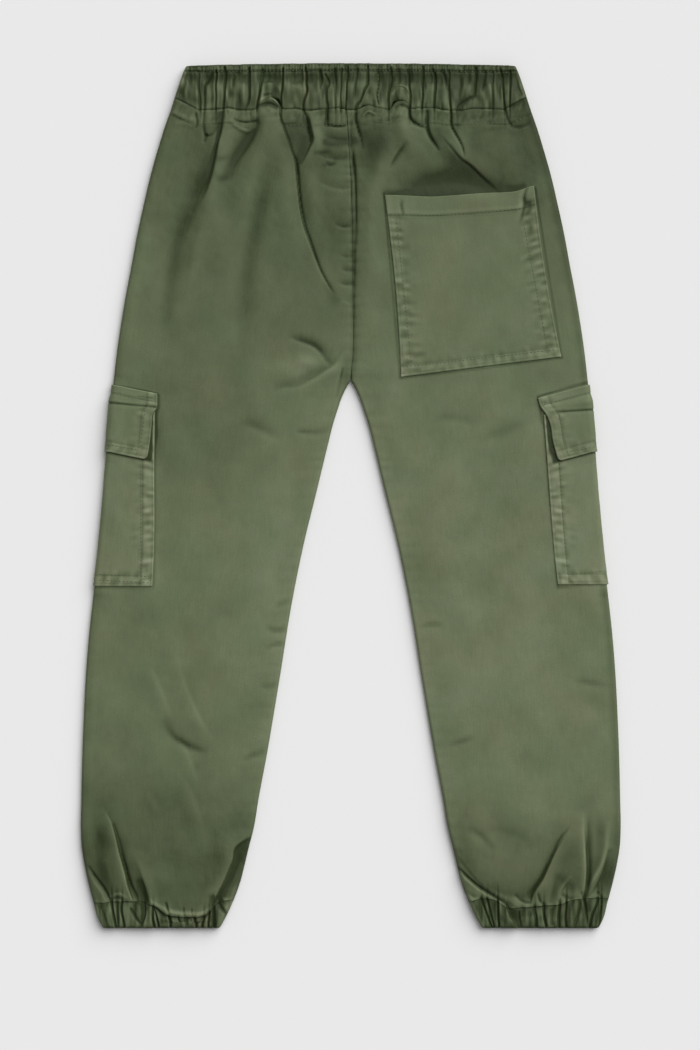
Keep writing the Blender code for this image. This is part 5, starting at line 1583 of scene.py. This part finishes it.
    def build_flap(self) -> bpy.types.Object:
        """Make the flap over the cargo pocket's mouth.

        Returns:
            The flap's object.
        """
        cargo = self.cargo
        rows, columns = cargo.flap_steps
        height = cargo.flap_end - cargo.flap_start
        down = spaced(height, rows, 2.4, 0.14)[:, None]
        share = down / height
        corner = cargo.corner
        rounded = corner - np.sqrt(corner**2 - np.maximum(corner - (height - down), 0) ** 2)
        narrowing = cargo.flap_side.at(share) + rounded
        width = cargo.flap_girth - narrowing - rounded
        across = spaced(1.0, columns, 0.025)[None, :] * width
        girth = cargo.flap_reach - narrowing - across
        row = (cargo.flap_start + down) * np.ones_like(girth)
        base = self.wrap(girth, row)
        left, right = across, width - across
        top, foot = down * np.ones_like(girth), (height - down) * np.ones_like(girth)
        edge = rounded_edge(left, right, foot, top)
        relief = 0.12 + 0.95 * edge + self.strip_relief(71, left, down, foot, edge, cargo.flap_strip)
        relief = relief + self.strip_relief(77, right, down, foot, edge, cargo.flap_strip)
        relief = relief + self.foot_relief(73, foot, across, edge)
        fold = top - cargo.flap_fold[0] - cargo.flap_fold[1] * across
        held = ease((across - 8) / 6) if cargo.sign > 0 else 1.0
        pressed = 0.25 * bell(top - 7.0, 0.6) + 0.45 * held * bell(fold, 0.8) - 0.12 * bell(fold + 2.4, 1.8)
        relief = relief - pressed * edge
        waves = 0.3 * Ripple(81, 20, 26).at(across, down) + 0.08 * Ripple(83, 7, 10).at(across, down)
        relief = relief + waves * edge
        relief = np.maximum(relief, LEAST_PATCH)
        over = np.interp(row, (cargo.pocket_start - cargo.ramp, cargo.pocket_start - 1), (0, cargo.lift))
        gap = 0.28 + over + 0.6 * ease((down - 22) / (height - 22)) * ease(girth / 10)
        worn = 0.3 * bell(left - 4, 3.6) + 0.2 * bell(foot - 2, 2.4) + 0.12 * bell(top - 2.5, 2.4)
        worn = worn * (0.6 + 0.9 * Ripple(85, 5, 5).at(across, down))
        # Painted shade along the fold across the flap and along its edge nearest the middle of the pants, then
        # painted light on raised parts and painted shade in grooves
        shade_tone = (0.5 * bell(fold, 1.0) + 0.3 * bell(fold + 3, 2.4)) * held + 0.3 * bell(left, 0.8)
        wear_and_shade = 1.4 * proud(relief, 4) + worn + 0.04 - shade_tone
        return self.build_patch(
            "cargo_flap_cloth_" + cargo.name, "cargo_flap_" + cargo.name, base, gap, relief,
            np.stack((across, row), axis=-1), wear_and_shade)

    def strip_relief(
        self, seed: int, away: Grid, down: Grid, foot: Grid, edge: Grid, strip: float, firm: float = 1.0,
    ) -> Grid:
        """Give the thicker, puckered seam allowance along a patch's side, and its stitched groove.

        Args:
            seed: Picks the puckers.
            away: Distances from the side edge.
            down: Distances down the patch.
            foot: Distances from its lower edge.
            edge: The edge's rounding, which fades the strip out.
            strip: The allowance's width.
            firm: How clearly its inner edge shows.

        Returns:
            The heights in mm.
        """
        raised = 0.22 * firm * (1 - ease((away - strip + 0.8) / 1.6))
        tucks = Pucker(seed, 8.2, 0.34).at(down * np.ones_like(away)) * bell(away - 0.5 * strip, 0.6 * strip)
        tucks = tucks + 0.42 * Ripple(seed + 2, 6.5, 3.4, 8).at(away, down) * bell(away - 0.5 * strip, strip)
        grooves = -0.3 * firm * bell(away - strip, 0.7) - 0.12 * bell(away - 2.0, 0.7)
        return (raised + tucks + grooves) * edge * ease(foot / 3)

    def foot_relief(self, seed: int, foot: Grid, across: Grid, edge: Grid) -> Grid:
        """Give the thicker allowance along a patch's lower edge, with its stitches' grooves and puckers."""
        raised = 0.16 * (1 - ease((foot - 7.5) / 1.6))
        along = across * np.ones_like(foot)
        tucks = Pucker(seed, 8.8, 0.25).at(along) * bell(foot - 4.5, 5.0)
        tucks = tucks + 0.36 * Ripple(seed + 2, 3.6, 6.5, 10).at(along, foot) * bell(foot - 5, 7.0)
        grooves = -0.2 * bell(foot - 8.4, 0.7) - 0.12 * bell(foot - 2.0, 0.7)
        return (raised + tucks + grooves) * edge


@dataclass
class BackPocket:
    """The patch pocket on the seat, with its hem standing a little off the panel."""

    leg: Leg
    top_left: tuple[float, float] = (27.0, 106.2)
    top_right: tuple[float, float] = (146.8, 98.4)
    bottom_left: tuple[float, float] = (40.2, 251.6)
    bottom_right: tuple[float, float] = (168.8, 235.4)
    bow: float = 2.0
    sag: float = 3.8
    hem: float = 15.5
    gape: float = 1.4
    strip: float = 9.5
    width: float = 126.0
    height: float = 146.0
    rows: int = 176
    columns: int = 144

    def build(self) -> bpy.types.Object:
        """Make the pocket.

        Returns:
            The pocket's object.
        """
        down, across = spaced(self.height, self.rows)[:, None], spaced(self.width, self.columns)[None, :]
        v, u = down / self.height, across / self.width
        x, drop = self.place(u, v)
        from_side = FORM.side.at(drop) - x
        base = self.leg.back_points(from_side, np.ones_like(x), np.ones_like(x), drop, fine=False)
        leg, ones = self.leg, np.ones_like(x)
        left, right = across * ones, (self.width - across) * ones
        top, foot = down * ones, (self.height - down) * ones
        edge = rounded_edge(left, right, foot, top)
        hemmed = 0.4 * (1 - ease((top - self.hem + 0.6) / 1.2))
        relief = 0.12 + 0.9 * edge + hemmed * edge
        relief = relief + leg.strip_relief(91, left, down, foot, edge, self.strip, 0.15) * ease((top - 14) / 4)
        relief = relief + leg.strip_relief(97, right, down, foot, edge, self.strip, 0.15) * ease((top - 10) / 4)
        relief = relief + leg.foot_relief(93, foot, across, edge)
        relief = relief - 0.18 * bell(top - self.hem - 0.4, 0.7) * edge
        waves = 0.34 * Ripple(95, 38, 52, 20).at(across, down) + 0.07 * Ripple(99, 9, 13).at(across, down)
        relief = relief + (waves + self.creases(x, drop)) * edge
        relief = np.maximum(relief, LEAST_PATCH)
        gap = 0.28 + self.gape * np.sin(math.pi * u) * (1 - v) ** 3
        worn = 0.22 * bell(left - 3, 3.2) + 0.2 * bell(foot - 3, 3.2) + 0.06 * bell(right - 3, 3.2)
        # Painted shade along the mouth, where the hem stands off the panel
        worn = worn - 0.16 * bell(top, 1.6)
        worn = worn * (0.5 + 0.9 * Ripple(87, 5, 5).at(across, down))
        worn = worn + 0.9 * bell(left, 2.4) * bell(foot, 2.4) + 0.9 * bell(right, 2.4) * bell(foot, 2.4)
        # Painted light on raised parts and painted shade in grooves, painted shade in the pinched fold at the top
        # right corner, and a little darker inside the right edge
        wear_and_shade = 1.2 * proud(relief, 4) + worn + 0.02 - 0.9 * bell(x - 142.5, 3.4) * bell(drop - 115, 9)
        wear_and_shade = wear_and_shade - 0.12 * bell(right - 12, 16) * bell(drop - 145, 40)
        return leg.build_patch(
            "back_pocket_cloth", "back_pocket", base, gap * ones, relief, np.stack((left, top), axis=-1), wear_and_shade)

    def place(self, u: Grid, v: Grid) -> tuple[Grid, Grid]:
        """Find the places on the seat of shares across and down the pocket."""
        corners = (self.top_left, self.top_right, self.bottom_left, self.bottom_right)
        spots = []
        for axis in (0, 1):
            a, b, c, d = (corner[axis] for corner in corners)
            spots.append((a * (1 - u) + b * u) * (1 - v) + (c * (1 - u) + d * u) * v)
        x = spots[0] + self.bow * np.sin(math.pi * v) * (1 - 2 * u)
        drop = spots[1] + self.sag * ease(u / 0.36) * ease((1 - u) / 0.14) * (1 - v)
        return x, drop

    def creases(self, x: Grid, drop: Grid) -> Grid:
        """Give the pocket's own creases: the folds at the ends of its hem and faint ones lower down."""
        own = creases(
            Edge.SOFT,
            (1.2, 1.2, (42, 109, 0), (40.4, 114, -0.7), (41.6, 121, -0.5)),
            (1.1, 1.1, (141, 100, -0.5), (139, 107, -0.9), (139, 114, -1), (137.4, 121, -0.8), (134.6, 131, 0)),
            (3, 3, (139, 110, -0.4), (142, 113, -0.9), (147, 112, -0.4)),
            (2, 2, (139, 126, 0), (144, 132, -0.5), (141, 142, 0)),
            (2, 2, (136, 163, 0), (142, 158, -0.5), (150, 157, -0.3)),
            (2.2, 2.2, (46, 236, 0), (54, 234, -0.5), (62, 233, 0)),
        )
        return creases_relief(own, x, drop)


@dataclass
class Casing:
    """An elasticated casing, gathered all round: the waistband or one cuff."""

    name: str
    node: str
    gathers: Gathers
    finish: bpy.types.Material
    seam_row: float
    open_row: float
    wall: float
    slit: float = 1.2
    top_wall: float = 1.9
    round_off: float = 1.3
    back_steps: int = 640
    front_steps: int = 180
    curl_steps: int = 8
    face_rows: int = 44
    round_rows: int = 6
    lining_rows: int = 8
    header: float = 6.2
    sign: int = 0

    def ends(self, row: Grid) -> tuple[Grid, Grid]:
        """Find the x of the casing's left and right folds on some rows."""
        outer = FORM.side.at(row)
        if self.sign == 0:
            return -outer, outer
        inner = FORM.inner_reach(row)
        return (inner, outer) if self.sign > 0 else (-outer, -inner)

    def columns(self) -> tuple[Grid, Grid, Grid, Grid]:
        """List the places once round the casing.

        Returns:
            For each column: the share across, the side (-1 or 1 in a curl, else 0), the curl's angle
            from the fold's middle and the level (1 on top and -1 underneath).
        """
        curl = np.linspace(0, QUARTER, self.curl_steps + 1)
        top = np.linspace(0, 1, self.back_steps + 1)
        under = np.linspace(1, 0, self.front_steps + 1)
        spots = [(share, 0, QUARTER, 1) for share in top]
        spots += [(1, 1, angle, 1) for angle in curl[::-1][1:]]
        spots += [(1, 1, angle, -1) for angle in curl[1:-1]]
        spots += [(share, 0, QUARTER, -1) for share in under]
        spots += [(0, -1, angle, -1) for angle in curl[::-1][1:]]
        spots += [(0, -1, angle, 1) for angle in curl[1:-1]]
        share, side, angle, level = np.array(spots, dtype=float).T
        return share, side, angle, level

    def build(self) -> bpy.types.Object:
        """Make the casing.

        Returns:
            The casing's object.
        """
        share, side, angle, level = (part[None, :] for part in self.columns())
        way = 1.0 if self.open_row > self.seam_row else -1.0
        gap = FORM.seam_gap / 2
        outer_rows = np.interp(
            np.linspace(0, 1, self.face_rows + 1), (0, 0.1, 1),
            (self.seam_row + way * gap, self.seam_row + way * 2.2, self.open_row - way * self.round_off))
        bend = np.linspace(0, math.pi, self.round_rows + 1)[1:]
        round_rows = self.open_row - way * self.round_off * (1 - np.sin(bend))
        lining_rows = np.linspace(outer_rows[-1], outer_rows[0], self.lining_rows + 1)[1:]
        row = np.concatenate((outer_rows, round_rows, lining_rows))[:, None]
        inward = np.concatenate((
            np.zeros(len(outer_rows)), (1 - np.cos(bend)) / 2, np.ones(len(lining_rows))))[:, None]
        face = self.outer_points(share, side, angle, level, row)
        lining = self.lining_points(face, angle, level, row)
        points = face + (lining - face) * inward[..., None]
        points[..., 1] = face[..., 1]
        along = np.abs(row - outer_rows[0]) + np.zeros_like(share) + inward * 3
        x = points[..., 0]
        cloth_map = np.stack((x * np.where(level > 0, 1, -1), along), axis=-1)
        height = face[..., 2] * level
        # Painted shade in the gathers' creases and painted light on their crowns, deeper in the cuffs
        fine = proud(height, 3)
        wear_and_shade = 0.25 * fine + (1.3 if self.sign else 0.5) * np.minimum(fine, 0) + 0.2 * proud(height, 12)
        wear_and_shade = wear_and_shade + sum(fade.at(x, row) for fade in LIGHT_AND_SHADE_PATCHES) + self.header_shade(row)
        seed = self.gathers.seed
        wear_and_shade = wear_and_shade + 0.22 * Ripple(seed + 13, 1.5, 9).at(x, row) + 0.26 * Ripple(seed + 15, 4, 6).at(x, row)
        # A little darker all over, with painted shade near the side folds, where the cloth turns away from the light
        wear_and_shade = wear_and_shade - 0.12 - 0.4 * bell(FORM.side.at(row) - np.abs(x) - 2, 4)
        wear_and_shade = wear_and_shade + creases_relief(PAINTED_SHADE_AND_HIGHLIGHTS, x, FORM.length / 2 - face[..., 1]) * (level > 0)
        piece = ClothPiece(self.name, self.node, "gathered_twill", self.finish)
        return piece.build_ring(points, cloth_map, wear_and_shade)

    def header_shade(self, row: Grid) -> Grid:
        """Give a casing's painted shade by row in mm: along its open edge, along and below the waistband's header,
        and at a cuff's seam under the leg that sags over it; a cuff is also darker all over, the right one more.
        """
        from_open = np.abs(row - self.open_row)
        if self.sign:
            return -0.15 - 0.1 * self.sign - 0.4 * bell(from_open, 2.0) - 0.5 * bell(row - self.seam_row, 2.5)
        below = bell(from_open - self.header - 4.5, 5.0)
        return -0.7 * bell(from_open, 2.4) - 0.3 * bell(from_open - self.header - 0.4, 1.2) - 0.3 * below

    def outer_points(self, share: Grid, side: Grid, angle: Grid, level: Grid, row: Grid) -> Grid:
        """Lay the casing's outer face.

        Args:
            share: Shares across the flat part.
            side: -1 or 1 in a curl, else 0.
            angle: Angles from the fold's middle.
            level: 1 on top and -1 underneath.
            row: Rows of the casing.

        Returns:
            Points of (x, y, z) in mm.
        """
        left, right = self.ends(row)
        radius = FORM.fold.at(row) / 2
        x = left + radius + (right - left - 2 * radius) * share + side * radius * np.cos(angle)
        turn = np.sin(angle) * np.ones_like(x)
        rows = row * np.ones_like(x)
        if self.sign == 0:
            from_side = np.maximum(right - np.abs(x), 0)
            y_bend = FORM.waist_bow * (x / right) ** 2 * (1 - row / FORM.band_depth)
            y_bend = y_bend - FORM.climb(from_side, rows) - np.where(level > 0, FORM.arch(x, rows), 0)
            x = np.sign(x) * (FORM.side.at(row + y_bend) - from_side)
        else:
            y_bend = np.where(level > 0, FORM.sag(x, rows), 0)
        crest = self.wall + self.slit + self.top_wall
        from_seam, from_open = np.abs(rows - self.seam_row), np.abs(rows - self.open_row)
        gathered = self.gathers.relief(x, rows) + self.hem_relief(x, from_open)
        gathered = gathered - (0.5 if self.sign else 0.7) * bell(from_seam, 1.0)
        high = crest + np.maximum(gathered, -0.5)
        hollow = 1.1 * (1 - self.gathers.share(x, rows)) + 0.35 * bell(from_open - 6, 1.0)
        hollow = hollow + 0.5 * bell(from_seam, 1.2)
        low = np.clip(hollow, 0, self.wall - 1.0)
        middle = radius * np.ones_like(x)
        z = np.where(level > 0, middle + (high - middle) * turn, middle - (middle - low) * turn)
        return np.stack((x, FORM.length / 2 - row - y_bend, z), axis=-1)

    def hem_relief(self, x: Grid, from_open: Grid) -> Grid:
        """Give the fine ribs of the stitched header and the pleats that fade out below it.

        Args:
            x: Places across, in mm.
            from_open: Distances from the casing's open edge.

        Returns:
            The heights in mm.
        """
        drift = 0.8 * Ripple(self.gathers.seed + 5, 9, 30).at(x, from_open)
        pleats = Ripple(self.gathers.seed + 7, 2.2, 60).at(x, from_open)
        if self.sign:
            return 0.3 * pleats - 0.8 * bell(from_open, 2.0)
        ribs = 0.22 * np.cos(2 * math.pi * (x / 2.5 + 1.6 * drift)) + 0.3 * Ripple(19, 1.4, 30).at(x, from_open)
        ribs = ribs * (1 - ease((from_open - self.header) / 1.6))
        deep = ease(0.6 + 0.8 * Ripple(self.gathers.seed + 9, 8, 200).at(x, from_open))
        below = 0.55 * pleats * bell(from_open - self.header - 2, 6.0)
        dip = -(0.6 + 1.1 * deep) * bell(from_open - self.header - 6, 5.5)
        return ribs + below + dip - 0.9 * bell(from_open - self.header, 0.9) - 0.3 * bell(from_open, 2.0)

    def lining_points(self, face: Grid, angle: Grid, level: Grid, row: Grid) -> Grid:
        """Lay the slit inside the casing, point for point with its outer face."""
        left, right = self.ends(row)
        middle, half = (left + right) / 2, (right - left) / 2
        x = middle + (face[..., 0] - middle) * (half - 0.7 * self.wall) / half
        z = self.wall + self.slit / 2 + self.slit / 2 * level * np.sin(angle) * np.ones_like(x)
        return np.stack((x, face[..., 1], z), axis=-1)


@dataclass
class Studio:
    """A pale floor under soft light, and the camera straight above. Its sizes are in metres."""

    floor_size: float = 6.0
    floor_drop: float = 0.0003
    height: float = 2.4
    aim: float = -0.0234
    aside: float = -0.0006
    frame_height: float = 0.8440
    sensor: float = 36.0
    sight: float = 20.0
    sun: float = 3.1
    sky: float = 0.33
    sky_colour: str = "#FFFFFF"
    elevation: float = 42.0
    softness: float = 60.0
    azimuth: float = 52.0

    def build(self) -> None:
        """Set up the floor, the lights and the camera."""
        self.build_floor()
        self.build_light()
        self.build_camera()

    def build_floor(self) -> None:
        """Lay the paper floor just below the pants."""
        body = bmesh.new()
        bmesh.ops.create_grid(
            body, x_segments=2, y_segments=2, size=self.floor_size / 2,
            matrix=Matrix.Translation((0, 0, -self.floor_drop)))
        mesh = to_mesh(body, "studio_floor")
        mesh.materials.append(MattPaper().material())
        put("studio_floor", mesh)

    def build_light(self) -> None:
        """Hang one wide soft light at the upper right and let the room's pale walls fill the rest."""
        world = bpy.data.worlds.new("pale_room")
        world.use_nodes = True
        room = world.node_tree.nodes["Background"]
        wire(world.node_tree, room, Color=linear(self.sky_colour), Strength=self.sky)
        bpy.context.scene.world = world
        lamp = bpy.data.lights.new("wide_softbox", "SUN")
        lamp.energy, lamp.angle = self.sun, math.radians(self.softness)
        tilt, turn = math.radians(self.elevation), math.radians(self.azimuth)
        towards = Vector((math.cos(tilt) * math.cos(turn), math.cos(tilt) * math.sin(turn), math.sin(tilt)))
        put("wide_softbox", lamp).rotation_euler = (-towards).to_track_quat("-Z", "Y").to_euler()

    def build_camera(self) -> None:
        """Put a long-lens camera over the pants, looking straight down."""
        lens = bpy.data.cameras.new("overhead_camera")
        lens.sensor_width, lens.clip_end = self.sensor, self.sight
        lens.lens = self.sensor * self.height / self.frame_height
        camera = put("overhead_camera", lens)
        camera.location = (self.aside, self.aim, self.height)
        bpy.context.scene.camera = camera
        bpy.context.scene.view_settings.view_transform = "Standard"


# The rows of stitches by object and by the piece below: a pitch and then (x, drop) points
STITCHES: dict[str, dict[str, tuple]] = {
    "waistband_stitches": {
        "waistband_cloth": (
            (3, *((x, 5.8 + 2.0 * (x / 134) ** 2) for x in range(-126, 127, 6))),
            (3, (21.9, 8), (22.2, 17), (21.6, 24), (22, 34)),
        ),
    },
    "seat_stitches": {
        "seat_and_leg_back_left": (
            (3, (-141.6, 40.4), (-134, 45), (-125.6, 50)),
            (3, (-120, 50.5), (-108, 50)),
            (3, (-98, 49), (-90, 51.4), (-76, 51.6)),
            (3, (-53, 50.2), (-37, 50)),
            (3, (-27, 49.8), (-6, 49.6)),
        ),
        "seat_and_leg_back_right": (
            (3, (22.2, 40), (23, 46), (31.4, 46), (31.6, 40)),
            (3, (50.5, 49.4), (62, 50)),
            (3, (64, 49.8), (79, 49.4)),
            (3, (92, 49), (118, 48.4)),
            (3, (126, 50.4), (140, 43)),
        ),
    },
    "back_pocket_stitches": {
        "back_pocket_cloth": (
            (3, (29, 121.6), (44, 122.4), (98, 121.4), (137, 116.4)),
            (3, (36.4, 124), (48.6, 240)),
            (3, (138.4, 128), (157.6, 228)),
            (3, (44, 243.4), (104, 236.6), (164, 229.6)),
        ),
    },
    "cargo_stitches_left": {
        "cargo_flap_cloth_left": (
            (3, (-192, 265.4), (-172.8, 268.6)),
            (1.7, (-170.6, 266.6), (-159, 268.4)),
            (1.9, (-170, 269), (-158.6, 271)),
            (3, (-164.6, 277), (-166, 290), (-168, 308)),
            (3, (-195, 305.8), (-170.4, 310)),
        ),
        "cargo_pocket_cloth_left": (
            (3, (-168, 322), (-168, 412)),
            (3, (-202, 409.6), (-160, 411.6)),
            (3, (-202.6, 414.2), (-161, 416.4)),
        ),
    },
    "cargo_stitches_right": {
        "cargo_flap_cloth_right": (
            (3, (163, 271.6), (190, 264.6)),
            (1.5, (154.6, 273.4), (162, 272.6)),
            (1.7, (154.8, 272.2), (161.6, 271.4)),
            (3, (167.2, 281), (168.6, 293), (171.6, 311)),
            (3, (171.6, 312), (196, 307.6)),
        ),
        "cargo_pocket_cloth_right": (
            (3, (167.2, 320), (169.6, 359), (173.6, 410)),
            (3, (173.6, 410), (204.8, 406.8)),
        ),
    },
}


def main() -> None:
    """Build the joggers and the studio, and report each piece."""
    logging.basicConfig(level=logging.INFO, format="%(name)s %(message)s")
    Studio().build()
    cloth = CottonTwill().material()
    thread = SewingThread().material()
    pieces: dict[str, bpy.types.Object] = {}
    cargos = (
        Cargo(
            "left", -1, pocket_top=36.8, pocket_bottom=48.2, flap_reach=38.2, slant=0.20, pocket_end=419.4,
            flap_side=Line((
                (0, 0.6), (0.1, 0), (0.22, 0.1), (0.3, 2.4), (0.5, 2.8), (0.75, 3.1), (0.9, 3.7), (1, 4.6))),
            flap_fold=(11.0, 0.11)),
        Cargo(
            "right", 1, pocket_top=39.6, pocket_bottom=41.2, flap_reach=43.2, slant=0.26, pocket_end=418.0,
            flap_side=Line((
                (0, 0), (0.13, 1.4), (0.27, 5.4), (0.35, 7), (0.45, 8.2), (0.67, 8.9), (0.8, 10), (1, 12))),
            flap_fold=(13.4, 0.20)),
    )
    for cargo, gathers in zip(cargos, (LEFT_CUFF_GATHERS, RIGHT_CUFF_GATHERS)):
        leg = Leg(cargo, gathers, cloth)
        made = [leg.build_back(), leg.build_front(), *leg.build_cargo()]
        if cargo.sign > 0:
            made.append(BackPocket(leg).build())
        cuff = Casing(
            "cuff_cloth_" + cargo.name, "cuff_" + cargo.name, gathers, cloth, seam_row=FORM.cuff_seam,
            open_row=FORM.length, wall=2.0, back_steps=270, front_steps=90, face_rows=28, sign=cargo.sign)
        made.append(cuff.build())
        pieces.update({piece.name: piece for piece in made})
    band = Casing(
        "waistband_cloth", "waistband", BAND_GATHERS, cloth, seam_row=FORM.band_depth, open_row=0.0, wall=2.4)
    pieces["waistband_cloth"] = band.build()
    for name, rows in STITCHES.items():
        slot = "panel_twill" if name == "seat_stitches" else "patch_twill"
        slot = "gathered_twill" if name == "waistband_stitches" else slot
        pieces[name] = Stitching(name, slot, thread).sew(pieces, rows)


if __name__ == "__main__":
    main()
